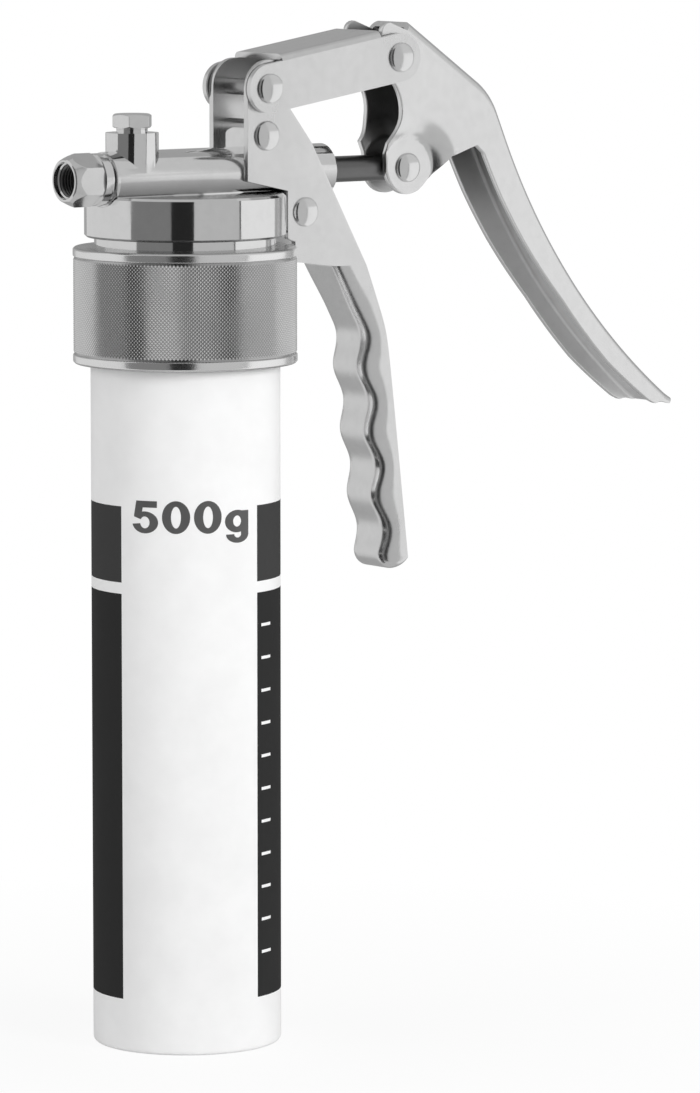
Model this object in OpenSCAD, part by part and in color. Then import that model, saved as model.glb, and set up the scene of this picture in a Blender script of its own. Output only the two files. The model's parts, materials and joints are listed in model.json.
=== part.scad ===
// One-hand grease gun with a screw-in cartridge.
// The origin is the middle of the cartridge's base, +Z runs up the cartridge,
// and the pump barrel lies along X with its outlet towards -X and its lever towards +X.

/* [Cartridge] */
// Outer diameter of the cartridge
tube_d = 57.5; // [54:0.5:60]
// Height of the cartridge from its base to its rim
tube_h = 235.2; // [180:0.2:260]
// Wall of the cartridge
tube_wall = 1.8; // [1.2:0.1:3]
// Thickness of the cartridge's base
base_t = 2; // [1.5:0.1:4]
// Rounding of the base's edge
base_round = 1.8; // [0.5:0.1:3]
// Diameter of the air vent in the base
vent_d = 2.5; // [1.5:0.1:4]
// Height of the follower piston
follower_h = 12; // [8:0.5:20]
// Radial play of the follower piston in the cartridge
follower_play = 0.3; // [0.2:0.05:0.5]

/* [Collar] */
// Outer diameter of the knurled collar
collar_d = 68; // [65:0.5:72]
// Height of the knurled collar
collar_h = 35.2; // [28:0.2:42]
// Thickness of the collar's lip, which the head sits on
collar_lip = 6.2; // [4:0.1:8]
// Plain polished band at each end of the knurl
collar_band = 3; // [2:0.1:4]
// Chamfer of the collar's outer edges
collar_chamfer = 0.8; // [0.4:0.1:1.2]
// Thickness of the gasket on the cartridge's rim
gasket_t = 1.8; // [1:0.1:3]
// Radial wall of the collar round the cartridge's screw neck
collar_wall = 7; // [6:0.1:7.6]
// Radial play of the cartridge's screw neck in the collar
tube_play = 0.25; // [0.15:0.05:0.5]

/* [Pump head] */
// Diameter of the head's disc
disc_d = 61; // [58:0.5:63]
// Height of the head's disc
disc_h = 12.9; // [10:0.1:16]
// Diameter of the neck under the disc
neck_d = 55; // [50:0.5:57]
// Height of the neck between collar and disc
neck_h = 3.1; // [2:0.1:5]
// Diameter of the spigot that the collar is screwed on
spigot_d = 48; // [42:0.5:50]
// Outer diameter of the pump barrel
barrel_d = 16.4; // [15.6:0.1:18]
// Depth that the barrel sinks into the disc
barrel_sink = 2.9; // [1.5:0.1:4]
// Length of the barrel in front of the cartridge's axis
barrel_front = 29; // [27:0.5:34]
// Length of the barrel behind the cartridge's axis
barrel_back = 52; // [50:0.5:54]
// Half width of the keel under the barrel
keel_half_w = 7.6; // [6:0.1:7.8]
// Distance of the valve boss in front of the cartridge's axis
boss_x = 19.3; // [18:0.1:21]
// Diameter of the valve boss
boss_d = 16; // [14:0.1:16.4]
// Height of the valve boss above the barrel's axis
boss_h = 13.7; // [12:0.1:18]

/* [Outlet and valve] */
// Length of the outlet union in front of its washer
nut_l = 14; // [12:0.5:18]
// Width across the flats of the outlet union
nut_af = 14; // [13:0.5:15]
// Core diameter of the outlet's internal thread, M10 by 1
outlet_core_d = 8.9; // [8:0.1:9.2]
// Depth of the outlet's internal thread
outlet_depth = 9.5; // [8:0.5:10]
// Diameter of the spigot that screws into the barrel
nut_spigot_d = 12; // [11:0.1:12.4]
// Thickness of the outlet's sealing washer
outlet_washer_t = 1; // [0.6:0.1:1.5]
// Diameter of the check valve's ball
ball_d = 6.35; // [5.6:0.05:6.6]
// Diameter of the hole that the ball closes
seat_d = 5; // [4:0.1:5.2]
// Width across the flats of the bleed screw
bleed_af = 11; // [10:0.5:12]
// Height of the bleed screw's head
bleed_head_h = 4.2; // [3:0.1:5]
// Thread diameter of the bleed screw
bleed_d = 6; // [5:0.1:7]
// Thickness of the bleed screw's washer
bleed_washer_t = 1; // [0.6:0.1:1.5]

/* [Plunger] */
// Diameter of the plunger rod
rod_d = 8; // [7:0.1:8.4]
// Pump stroke that the springs and bores leave room for
stroke = 18; // [14:0.5:18.5]
// Diameter of the return spring's chamber
spring_bore_d = 12.2; // [11.6:0.1:12.6]
// Wire of the return spring
spring_wire = 1.2; // [0.9:0.1:1.4]
// Turns of the return spring
spring_turns = 7; // [5:1:9]
// Thickness of the collar on the plunger
rod_collar_t = 2.5; // [2:0.1:4]
// Thickness of the plunger's seal
seal_t = 3; // [2:0.1:4]
// Length of the gland bush
gland_l = 4; // [3:0.1:5]

/* [Handle] */
// Clear width between the handle's side plates
plate_gap = 16; // [15.6:0.1:18]
// Thickness of the handle's sheet
plate_t = 2; // [1.5:0.1:2.5]
// Distance of the plates' front edge behind the cartridge's axis
plate_front = 16.2; // [15:0.1:17]
// Radius of the plates' rounded tops
plate_top_r = 8.6; // [8:0.1:9]
// Distance of the upper handle rivet behind the cartridge's axis
upper_rivet_x = 23.3; // [22.5:0.1:24]
// Height of the upper handle rivet above the barrel's axis
upper_rivet_rise = 11.7; // [11.2:0.1:12.2]
// Distance of the lower handle rivet behind the head's disc
lower_rivet_gap = 7.3; // [6.8:0.1:7.8]
// Depth of the lower handle rivet below the barrel's axis
lower_rivet_drop = 11.9; // [11.4:0.1:12.4]
// Slope of the plates' rear edge, height lost per unit of length
plate_rear_slope = 2; // [1.8:0.05:2.2]
// Width of the finger web between its folds
web_w = 16.6; // [15:0.1:17.6]
// Outer width of the grip's flanges
grip_w = 19.4; // [18:0.1:19.6]
// Fold radius of the finger web
grip_fold_r = 2.6; // [2.2:0.1:3]
// Mean distance of the finger web behind the cartridge's axis
grip_x = 60.25; // [58:0.25:64]
// Depth of the grip's channel at the first finger
grip_depth = 9.2; // [8:0.1:11]
// Drift of the finger web away from the cartridge, per unit of height
grip_lean = 0.133; // [0.08:0.005:0.18]
// Distance between two finger hollows
finger_pitch = 20; // [18:0.5:21]
// Number of finger hollows
finger_count = 4; // [3:1:4]
// Height of the finger waves on each side of their mean
finger_amp = 1.35; // [0.8:0.05:1.8]

/* [Linkage] */
// Distance of the link's pivot behind the cartridge's axis
pivot_x = 22.8; // [22:0.1:24]
// Height of the link's pivot above the barrel's axis
pivot_rise = 26.1; // [25:0.1:28]
// Length of the link between its pivots
link_l = 50.2; // [48:0.1:54]
// Length of the lever between the link's pivot and the rod's pivot
lever_arm = 35; // [34:0.1:36]
// Lean of the lever's arm towards the handle at rest, in degrees
lever_lean = 11.5; // [10:0.1:13]
// Diameter of the rivets' shanks
rivet_d = 5; // [4:0.1:5.4]
// Diameter of the rivets' heads
rivet_head_d = 9.1; // [8:0.1:10]
// Height of the rivets' heads
rivet_head_h = 2; // [1.4:0.1:2.4]
// Thickness of the link's sheet
link_t = 1.8; // [1.4:0.1:2.2]
// Radius of the link's rounded ends
link_end_r = 7.4; // [7:0.1:8]
// Height of the link's back above its pivots
link_back = 9.5; // [9:0.1:11]
// Thickness of the washers beside the link
pivot_washer_t = 0.6; // [0.4:0.1:1]
// Room for the link's pivot to shift on its rivet, on each side
pivot_shift = 1; // [0.9:0.05:1.2]

/* [Lever] */
// Thickness of the lever's sheet
lever_t = 2; // [1.5:0.1:2.5]
// Fold radius of the lever's back
lever_fold_r = 3; // [2.6:0.1:4]
// Radius of the ears that hold the rod
ear_r = 8.2; // [7.8:0.1:8.6]
// Depth of the lever's flanges at its shoulder
flange_full = 10.8; // [10:0.1:12]
// Straight length of the lever's back behind its top
lever_top_l = 32.6; // [30:0.2:35]
// Slope of the lever's back at its top, in degrees
lever_top_angle = 35.2; // [33:0.2:38]
// Bend radius of the lever's shoulder
lever_bend_r = 22.6; // [20:0.2:25]
// Bend of the lever's shoulder, in degrees
lever_bend = 31.6; // [28:0.2:34]
// Radius of the lever's long outward sweep
lever_sweep_r = 209; // [190:1:230]
// Turn of the lever's long outward sweep, in degrees
lever_sweep = 29.8; // [26:0.2:32]

/* [Hidden] */
$fn = 64;

// Fits and small gaps
slip = 0.05;
seat_gap = 0.1;
running = 0.3;
over = 1;

// Heights of the upright stack
lip_z = tube_h + gasket_t;
collar_top = lip_z + collar_lip;
collar_z = collar_top - collar_h;
disc_z = collar_top + neck_h;
disc_top = disc_z + disc_h;
axis_z = disc_top + barrel_d / 2 - barrel_sink;
tube_id = tube_d - 2 * tube_wall;
mouth_d = collar_d - 2 * (collar_wall + tube_play);
mouth_id = mouth_d - 2 * tube_wall;
shoulder_z = collar_z - running;
shoulder_foot = shoulder_z - tube_wall;

// Stations along the pump barrel
outlet_face = -barrel_front - outlet_washer_t - nut_l;
nut_back = -barrel_front - outlet_washer_t;
valve_depth = 5;
valve_x = -barrel_front + valve_depth;
ball_x = valve_x - sqrt(pow(ball_d / 2, 2) - pow(seat_d / 2, 2));
ball_lift = 1.2;
outlet_web = 1.5;
check_spring_back = outlet_face + outlet_depth + outlet_web;
pump_bore_x = -17;
rod_tip_x = 4.5;
spring_x = 10;
gland_x = barrel_back - gland_l;
seal_x = gland_x - seal_t;
rod_collar_x = seal_x - 1 - rod_collar_t;
gland_d = spring_bore_d + 1;
inlet_d = 7;

// Handle, link and lever widths
handle_w = plate_gap + 2 * plate_t;
washer_room = pivot_washer_t + seat_gap;
link_in = handle_w + 2 * washer_room;
link_w = link_in + 2 * link_t;
lever_w = handle_w;
ear_in = rod_d + 1;
ear_w = ear_in + 2 * lever_t;

// Pivots, as X and Z
pivot_a = [pivot_x, axis_z + pivot_rise];
link_angle = asin((lever_arm * cos(lever_lean) - pivot_rise) / link_l);
pivot_b = pivot_a + link_l * [cos(link_angle), sin(link_angle)];
pivot_c = [pivot_b[0] + lever_arm * sin(lever_lean), axis_z];
upper_rivet = [upper_rivet_x, axis_z + upper_rivet_rise];
lower_rivet = [disc_d / 2 + lower_rivet_gap, axis_z - lower_rivet_drop];
hole_d = rivet_d + 2 * slip;
// The link's hole sits this far below its rivet at rest and as far above it at full squeeze
pivot_sag = 0.6;

// Edges of the side plates, as X and Z
function chord(d, w) = sqrt(pow(d / 2, 2) - pow(w / 2, 2));
notch_x = chord(disc_d, plate_gap) + 1.8;
collar_edge_x = chord(collar_d, plate_gap) + 0.9;
notch_front_z = axis_z - 1.9;
notch_back_z = disc_top + seat_gap;
web_top_q = 29;
plate_foot_q = 27;
plate_top = [plate_front + plate_top_r, pivot_a[1]];

// A round bar along X on the pump's axis
module bar_x(x0, x1, d) {
    translate([x0, 0, axis_z]) rotate([0, 90, 0]) cylinder(h = x1 - x0, d = d);
}

// A round bar along Y through a point given as X and Z
module bar_y(p, y0, y1, d) {
    translate([p[0], y0, p[1]]) rotate([-90, 0, 0]) cylinder(h = y1 - y0, d = d);
}

// A flat outline in X and Z, given thickness from y0 to y1
module sheet_y(y0, y1) {
    translate([0, y1, 0]) rotate([90, 0, 0]) linear_extrude(y1 - y0) children();
}

// A piece and its mirror image on the other side of the gun
module both_sides() {
    children();
    mirror([0, 1, 0]) children();
}

// A ring about the cartridge's axis
module ring(d_out, d_in, z, h) {
    translate([0, 0, z]) difference() {
        cylinder(h = h, d = d_out);
        translate([0, 0, -over]) cylinder(h = h + 2 * over, d = d_in);
    }
}

// A ring about the pump's axis
module ring_x(x0, x1, d_out, d_in) {
    difference() {
        bar_x(x0, x1, d_out);
        bar_x(x0 - over, x1 + over, d_in);
    }
}

// A closed skin over rings of points that all have the same, even number of points.
// Each end is closed by strips that join a point to the one facing it in the ring.
module skin(rings) {
    n = len(rings[0]);
    m = len(rings);
    end = (m - 1) * n;
    strips = [for (i = [0 : n / 2 - 2]) each [[i, i + 1, n - 2 - i], [i, n - 2 - i, n - 1 - i]]];
    polyhedron(
        points = [for (r = rings) each r],
        faces = concat(
            strips,
            [for (k = [0 : m - 2]) for (i = [0 : n - 1])
                let (j = (i + 1) % n) each [
                    [k * n + j, k * n + i, (k + 1) * n + i],
                    [k * n + j, (k + 1) * n + i, (k + 1) * n + j]
                ]],
            [for (f = strips) [end + f[2], end + f[1], end + f[0]]]
        )
    );
}

// A round wire wound about the pump's axis from x0 to x1
module coil_x(x0, x1, mean_d, wire, turns, per_turn = 16, sides = 8) {
    steps = turns * per_turn;
    pitch = (x1 - x0 - wire) / turns;
    skin([for (k = [0 : steps]) let (
            a = 360 * k / per_turn,
            x = x0 + wire / 2 + pitch * k / per_turn
        )
        [for (i = [0 : sides - 1]) let (
                b = 360 * i / sides,
                r = mean_d / 2 + wire / 2 * cos(b)
            )
            [x - wire / 2 * sin(b), r * cos(a), axis_z + r * sin(a)]]]);
}

// Half of a channel's section from the middle of its back to the edge of its flange.
// Each point is the distance from the middle plane and the depth under the back.
// The wall turns through a fold and may then step outwards.
function channel_half(w, r, step, lift, depth) = let (
        fold_steps = 4,
        step_steps = 3,
        step_from = r + 0.5 + lift / 4,
        step_to = step_from + 1.8
    )
    concat(
        [for (i = [0 : fold_steps]) let (a = 90 * i / fold_steps)
            [w / 2 - r + r * sin(a), lift + r * (1 - cos(a))]],
        step > 0
            ? [for (i = [1 : step_steps]) let (u = i / step_steps)
                [w / 2 + step * u * u * (3 - 2 * u), lift + step_from + (step_to - step_from) * u]]
            : [],
        [[w / 2 + step, depth]]
    );

function mirrored(list) = [for (p = list) [-p[0], p[1]]];
function reversed(list) = [for (i = [len(list) - 1 : -1 : 0]) list[i]];

// The closed section of a folded channel of sheet thickness t
function channel_loop(w, r, step, t, depth) = let (
        outer = channel_half(w, r, step, 0, depth),
        inner = channel_half(w - 2 * t, max(r - t, 0.5), step, t, depth)
    )
    concat(reversed(mirrored(outer)), outer, reversed(inner), mirrored(inner));

// A section set in space: its back at f, its flanges pointing to g, both as X and Z
function placed(loop, f, g) = let (
        d = (g - f) / norm(g - f)
    )
    [for (p = loop) [f[0] + d[0] * p[1], p[0], f[1] + d[1] * p[1]]];

// White cartridge: rounded, vented base, and a shoulder that carries the open screw neck
module cartridge_tube() {
    color("white") difference() {
        union() {
            rotate_extrude() {
                square([tube_d / 2 - base_round, shoulder_z]);
                translate([0, base_round]) square([tube_d / 2, shoulder_z - base_round]);
                intersection() {
                    translate([tube_d / 2 - base_round, base_round]) circle(r = base_round);
                    square([tube_d / 2, base_round]);
                }
            }
            translate([0, 0, shoulder_foot]) cylinder(h = tube_wall, d = max(tube_d, mouth_d));
            translate([0, 0, shoulder_foot]) cylinder(h = tube_h - shoulder_foot, d = mouth_d);
        }
        translate([0, 0, base_t]) cylinder(h = shoulder_foot - base_t, d = tube_id);
        translate([0, 0, shoulder_foot - slip])
            cylinder(h = tube_wall + 2 * slip, d = min(tube_id, mouth_id));
        translate([0, 0, shoulder_z]) cylinder(h = tube_h, d = mouth_id);
        translate([0, tube_d / 4, -over]) cylinder(h = base_t + 2 * over, d = vent_d);
    }
}

// Cup shaped plate that the air pushes up behind the grease
module follower_piston() {
    floor_t = 2;
    skirt_t = 1.6;
    follower_d = tube_id - 2 * follower_play;
    color("dimgray") translate([0, 0, base_t + seat_gap]) difference() {
        cylinder(h = follower_h, d = follower_d);
        translate([0, 0, -over])
            cylinder(h = follower_h - floor_t + over, d = follower_d - 2 * skirt_t);
    }
}

// The grease between the follower and the cartridge's shoulder
module grease_charge() {
    grease_z = base_t + follower_h + 2 * seat_gap;
    color("goldenrod") translate([0, 0, grease_z])
        cylinder(h = shoulder_foot - seat_gap - grease_z, d = tube_id - 2 * seat_gap);
}

// The grease in the screw neck, which the follower doesn't reach
module neck_grease() {
    color("goldenrod") translate([0, 0, shoulder_foot])
        cylinder(h = tube_h - shoulder_foot, d = mouth_id - 2 * seat_gap);
}

// Flat ring on the cartridge's rim
module collar_gasket() {
    color("black") ring(mouth_d - 1, mouth_id - 8, tube_h, gasket_t);
}

// Turned collar: plain bands with chamfered edges above and below the knurled part
module knurled_collar() {
    knurl_relief = 0.5;
    r = collar_d / 2;
    c = collar_chamfer;
    b = collar_band;
    color("gray") difference() {
        translate([0, 0, collar_z]) rotate_extrude() polygon([
            [0, 0], [r - c, 0], [r, c], [r, b - c], [r - c, b],
            [r - knurl_relief, b], [r - knurl_relief, collar_h - b], [r - c, collar_h - b],
            [r, collar_h - b + c], [r, collar_h - c], [r - c, collar_h], [0, collar_h]
        ]);
        translate([0, 0, collar_z - over])
            cylinder(h = lip_z - collar_z + over, d = mouth_d + 2 * tube_play);
        translate([0, 0, collar_z])
            cylinder(h = collar_h + over, d = spigot_d + 2 * slip);
    }
}

// Keel that blends the barrel into the disc, pointed at both ends
module keel() {
    half_l = 31;
    mid_x = 4;
    side_r = (pow(half_l, 2) + pow(keel_half_w, 2)) / (2 * keel_half_w);
    translate([mid_x, 0, disc_top - over]) linear_extrude(axis_z - disc_top + over)
        intersection() {
            translate([0, side_r - keel_half_w]) circle(r = side_r, $fn = 180);
            translate([0, keel_half_w - side_r]) circle(r = side_r, $fn = 180);
        }
}

// One-piece head: disc, barrel, valve boss, keel and the lugs between the handle's plates
module pump_head() {
    edge = 0.7;
    lug_r = 4.8;
    recess_d = spigot_d - 8;
    seat_w = plate_gap - 2 * slip;
    color("silver") difference() {
        union() {
            translate([0, 0, lip_z]) cylinder(h = collar_lip + slip, d = spigot_d);
            translate([0, 0, collar_top]) cylinder(h = neck_h + over, d = neck_d);
            translate([0, 0, disc_z]) rotate_extrude() polygon([
                [0, 0], [disc_d / 2 - edge, 0], [disc_d / 2, edge],
                [disc_d / 2, disc_h - edge], [disc_d / 2 - edge, disc_h], [0, disc_h]
            ]);
            bar_x(-barrel_front, barrel_back - 1, barrel_d);
            translate([barrel_back - 1, 0, axis_z]) rotate([0, 90, 0])
                cylinder(h = 1, d1 = barrel_d, d2 = barrel_d - 2);
            translate([-boss_x, 0, axis_z]) cylinder(h = boss_h, d = boss_d);
            keel();
            // Upright lug for the upper rivet
            bar_y(upper_rivet, -seat_w / 2, seat_w / 2, 2 * lug_r);
            translate([upper_rivet[0] - lug_r, -seat_w / 2, axis_z])
                cube([2 * lug_r, seat_w, upper_rivet[1] - axis_z]);
            // Rear lug for the lower rivet
            bar_y(lower_rivet, -seat_w / 2, seat_w / 2, 2 * lug_r);
            translate([0, -seat_w / 2, lower_rivet[1] - lug_r])
                cube([lower_rivet[0], seat_w, 2 * lug_r]);
        }
        // Flats that the side plates lie against
        both_sides() translate([plate_front - over, seat_w / 2, disc_top])
            cube([barrel_back, barrel_d, barrel_d]);
        // Rivet holes
        bar_y(upper_rivet, -plate_gap, plate_gap, hole_d);
        bar_y(lower_rivet, -plate_gap, plate_gap, hole_d);
        // Pump bore, spring chamber and gland seat
        bar_x(pump_bore_x, spring_x + over, rod_d + 2 * slip);
        bar_x(spring_x, seal_x + over, spring_bore_d);
        bar_x(seal_x, barrel_back + over, gland_d + 2 * slip);
        // Spot face in the disc's edge for the outlet union and its washer
        bar_x(outlet_face, -barrel_front, barrel_d + 2 * running);
        // Outlet seat and the hole that the ball closes
        bar_x(-barrel_front - over, valve_x, nut_spigot_d + 2 * slip);
        bar_x(valve_x - over, pump_bore_x + over, seat_d);
        // Bleed screw's hole and the bleed drilling under it
        translate([-boss_x, 0, axis_z + rod_d / 2])
            cylinder(h = boss_h, d = bleed_d + 2 * slip);
        translate([-boss_x, 0, axis_z]) cylinder(h = boss_h, d = 2);
        // Grease inlet and the recess above the cartridge
        translate([0, 0, lip_z - over]) cylinder(h = axis_z - lip_z + over, d = inlet_d);
        translate([0, 0, lip_z - over]) cylinder(h = over + 4, d = recess_d);
    }
}

// Thin ring that seals the outlet union
module outlet_washer() {
    color("silver") ring_x(-barrel_front - outlet_washer_t, -barrel_front,
        barrel_d, nut_spigot_d + 2 * slip);
}

// Hexagon union: coned nose, flats at the sides, round band at the back and a screwed spigot
module outlet_nut() {
    corner_d = nut_af / cos(30);
    nose_d = nut_af - 1.2;
    nose_l = 4;
    band_l = 4;
    lead_d = outlet_core_d + 2;
    lead_l = 1.6;
    color("silver") difference() {
        union() {
            intersection() {
                translate([outlet_face, 0, axis_z]) rotate([0, 90, 0])
                    cylinder(h = nut_l - band_l, d = corner_d, $fn = 6);
                union() {
                    translate([outlet_face, 0, axis_z]) rotate([0, 90, 0])
                        cylinder(h = nose_l, d1 = nose_d, d2 = corner_d + 0.4);
                    bar_x(outlet_face + nose_l - slip, nut_back, corner_d + 0.4);
                }
            }
            bar_x(nut_back - band_l, nut_back - 1, corner_d - 0.4);
            bar_x(nut_back - 1 - slip, nut_back, nut_spigot_d + 2);
            bar_x(nut_back - slip, valve_x - 0.5, nut_spigot_d);
        }
        bar_x(outlet_face - over, outlet_face + outlet_depth, outlet_core_d);
        bar_x(outlet_face - over, outlet_face + lead_l, lead_d);
        bar_x(outlet_face, valve_x, 4);
        bar_x(check_spring_back, valve_x, ball_d + 1);
    }
}

// Ball that closes the pump's outlet
module check_ball() {
    color("lightgray") translate([ball_x - seat_gap, 0, axis_z]) sphere(d = ball_d);
}

// Spring that holds the ball on its seat
module check_spring() {
    wire = 0.6;
    color("gray") coil_x(check_spring_back + seat_gap, ball_x - ball_d / 2 - 2 * seat_gap,
        ball_d - 2, wire, 3);
}

// Thin ring under the bleed screw
module bleed_washer() {
    color("silver") translate([-boss_x, 0, 0])
        ring(bleed_af - 1.6, bleed_d + 2 * slip, axis_z + boss_h, bleed_washer_t);
}

// Hexagon bleed screw, one corner turned to the front left
module bleed_screw() {
    corner_d = bleed_af / cos(30);
    collar_t = 0.4;
    head_z = axis_z + boss_h + bleed_washer_t + slip;
    turn = 53.5;
    color("silver") translate([-boss_x, 0, 0]) {
        translate([0, 0, head_z]) cylinder(h = collar_t + 1, d = bleed_af - 1.4);
        intersection() {
            translate([0, 0, head_z + collar_t]) rotate([0, 0, turn])
                cylinder(h = bleed_head_h, d = corner_d, $fn = 6);
            translate([0, 0, head_z + collar_t]) rotate_extrude() polygon([
                [0, 0], [bleed_af / 2 - 0.1, 0], [corner_d / 2 + 0.4, 0.8],
                [corner_d / 2 + 0.4, bleed_head_h - 1], [bleed_af / 2 - 0.3, bleed_head_h],
                [0, bleed_head_h]
            ]);
        }
        translate([0, 0, axis_z + rod_d / 2 + 1])
            cylinder(h = head_z - axis_z - rod_d / 2 - 1 + slip, d = bleed_d);
    }
}

// Plunger rod with its spring collar and the cross hole at its end
module plunger_rod() {
    end_x = pivot_c[0] + rivet_d;
    color("dimgray") difference() {
        union() {
            bar_x(rod_tip_x, end_x, rod_d);
            bar_x(rod_collar_x, rod_collar_x + rod_collar_t, spring_bore_d - 2 * running);
            translate([end_x - slip, 0, axis_z]) rotate([0, 90, 0])
                cylinder(h = 1, d1 = rod_d, d2 = rod_d - 2);
        }
        bar_y(pivot_c, -rod_d, rod_d, hole_d);
    }
}

// Spring between the pump bore's shoulder and the plunger's collar
module return_spring() {
    mean_d = (spring_bore_d + rod_d) / 2;
    color("gray") coil_x(spring_x + seat_gap, rod_collar_x - seat_gap,
        mean_d, spring_wire, spring_turns, 12, 6);
}

// Seal round the rod
module plunger_seal() {
    color("black") ring_x(seal_x, gland_x, gland_d, rod_d + 2 * slip);
}

// Bush that closes the barrel's back
module gland_bush() {
    color("goldenrod") ring_x(gland_x, barrel_back - 0.4, gland_d, rod_d + 2 * slip);
}

// Finger web of the grip, distance behind the cartridge at a depth q below the barrel's axis
hollow_q = 51.4;
wave_q = 47.5;
toe_r = 5;
toe_q = hollow_q + (finger_count - 0.62) * finger_pitch;
rear_lean = grip_lean - 0.02;
rear_rise = 1.2;
function wave_x(q) = grip_x + grip_lean * (q - hollow_q)
    + finger_amp * cos(360 * (q - hollow_q) / finger_pitch);
web_top_x = grip_x - 10.4;
neck_slope = (wave_x(wave_q) - web_top_x) / (wave_q - web_top_q);
function front_x(q) = q < wave_q ? web_top_x + neck_slope * (q - web_top_q) : wave_x(q);

// Rear edge of the grip's flanges: the plates' slope eases into the grip's lean
function rear_line(q) = grip_x + grip_depth + rear_lean * (q - hollow_q);
function rear_neck(q) = rear_line(hollow_q) - 0.41 * (hollow_q - 1.8 - q);
function eased_min(a, b, e) = (a + b) / 2 - sqrt(pow((a - b) / 2, 2) + e * e);
function rear_x(q) = eased_min(rear_neck(q), rear_line(q), 0.8);

function at_q(x, q) = [x, axis_z - q];

// Sections of the grip's channel, from the top of the web round the toe
function grip_ring(f, g) = let (
        depth = norm(g - f),
        full = grip_fold_r + plate_t + 3.2,
        squeeze = min(1, depth / full),
        loop = channel_loop(web_w, grip_fold_r, (grip_w - web_w) / 2, plate_t, max(depth, full))
    )
    placed([for (p = loop) [p[0], p[1] * squeeze]], f, g);

module grip_channel() {
    toe_x = wave_x(toe_q) + toe_r;
    toe_turn = 145;
    step_q = 1.9;
    down = ceil((toe_q - web_top_q) / step_q);
    round_steps = 9;
    skin(concat(
        [for (i = [0 : down]) let (
                q = web_top_q + (toe_q - web_top_q) * i / down,
                rise = rear_rise * i / down
            )
            grip_ring(at_q(front_x(q), q), at_q(rear_x(q - rise), q - rise))],
        [for (i = [1 : round_steps]) let (
                u = i / round_steps,
                a = 180 + toe_turn * u,
                q = toe_q - rear_rise + 1.6 * u
            )
            grip_ring(at_q(toe_x + toe_r * cos(a), toe_q - toe_r * sin(a)), at_q(rear_x(q), q))]
    ));
}

// Outline of one side plate in X and Z
module plate_outline() {
    rear_top = [plate_top[0] + plate_top_r * 0.8, plate_top[1] - plate_top_r * 0.75];
    rear_foot = at_q(rear_x(web_top_q + 3) - 0.2, web_top_q + 3);
    rear_knee = [rear_foot[0] - (axis_z + 9 - rear_foot[1]) / plate_rear_slope, axis_z + 9];
    difference() {
        union() {
            translate(plate_top) circle(r = plate_top_r);
            polygon([
                [plate_front, notch_front_z], [plate_front, plate_top[1]],
                [plate_top[0], plate_top[1] + plate_top_r * 0.5], rear_top, rear_knee, rear_foot,
                at_q(web_top_x + 2, web_top_q + 0.6), at_q(web_top_x, web_top_q - 0.3),
                at_q(collar_edge_x, plate_foot_q),
                [collar_edge_x, collar_top + 0.5], [notch_x, disc_z - 1.5], [notch_x, notch_back_z]
            ]);
        }
        translate(pivot_a) circle(d = hole_d);
        translate(upper_rivet) circle(d = hole_d);
        translate(lower_rivet) circle(d = hole_d);
    }
}

// Folded handle: two side plates that run into the waved finger grip
module grip_handle() {
    color("gainsboro") {
        both_sides() sheet_y(plate_gap / 2, handle_w / 2) plate_outline();
        grip_channel();
    }
}

// Rivet with a low domed head on each side, across a stack of the given width
module rivet(p, width) {
    rim = 0.6;
    dome = rivet_head_h - rim;
    dome_r = (pow(rivet_head_d / 2, 2) + pow(dome, 2)) / (2 * dome);
    bar_y(p, -width / 2 - slip, width / 2 + slip, rivet_d);
    both_sides() {
        bar_y(p, width / 2, width / 2 + rim, rivet_head_d);
        intersection() {
            bar_y(p, width / 2 + rim - slip, width / 2 + rivet_head_h + slip, rivet_head_d);
            translate([p[0], width / 2 + rivet_head_h - dome_r, p[1]]) sphere(r = dome_r, $fn = 96);
        }
    }
}

// The two rivets that clamp the plates to the head
module handle_rivets() {
    color("silver") {
        rivet(upper_rivet, handle_w);
        rivet(lower_rivet, handle_w);
    }
}

// The rivet that the link swings on
module link_pivot_rivet() {
    color("silver") rivet(pivot_a, link_w + 2 * seat_gap);
}

// Thin washers between the plates and the link
module pivot_washers() {
    color("silver") both_sides() difference() {
        bar_y(pivot_a, handle_w / 2, handle_w / 2 + pivot_washer_t, 2 * link_end_r);
        bar_y(pivot_a, 0, handle_w, hole_d);
    }
}

// Side outline of the link along its own length
module link_side() {
    back_from = 6;
    back_to = link_l - 6.5;
    difference() {
        union() {
            circle(r = link_end_r);
            translate([link_l, 0]) circle(r = link_end_r);
            translate([0, -link_end_r]) square([link_l, 2 * link_end_r]);
            translate([back_from, 0]) square([back_to - back_from, link_back]);
        }
        translate([0, -pivot_sag]) circle(d = rivet_d + 2 * pivot_shift);
        translate([link_l, 0]) circle(d = hole_d);
    }
}

// Cross section of the link: an upside down channel with rounded folds
module link_section() {
    fold = 2.4;
    difference() {
        union() {
            translate([-link_w / 2, -2 * link_end_r])
                square([link_w, 2 * link_end_r + link_back - fold]);
            translate([-link_w / 2 + fold, 0]) square([link_w - 2 * fold, link_back]);
            for (s = [-1, 1]) translate([s * (link_w / 2 - fold), link_back - fold]) circle(r = fold);
        }
        translate([-link_in / 2, -3 * link_end_r])
            square([link_in, 3 * link_end_r + link_back - link_t]);
    }
}

// Folded upper link between the handle and the lever
module link_channel() {
    color("gainsboro") translate([pivot_a[0], 0, pivot_a[1]]) rotate([0, -link_angle, 0])
        intersection() {
            sheet_y(-link_w, link_w) link_side();
            translate([-2 * link_end_r, 0, 0]) rotate([90, 0, 90])
                linear_extrude(link_l + 4 * link_end_r) link_section();
        }
}

// The rivet between link and lever
module lever_pivot_rivet() {
    color("silver") rivet(pivot_b, link_w + 2 * seat_gap);
}

// The rivet between the lever's ears and the rod
module rod_pivot_rivet() {
    color("silver") rivet(pivot_c, ear_w);
}

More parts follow.
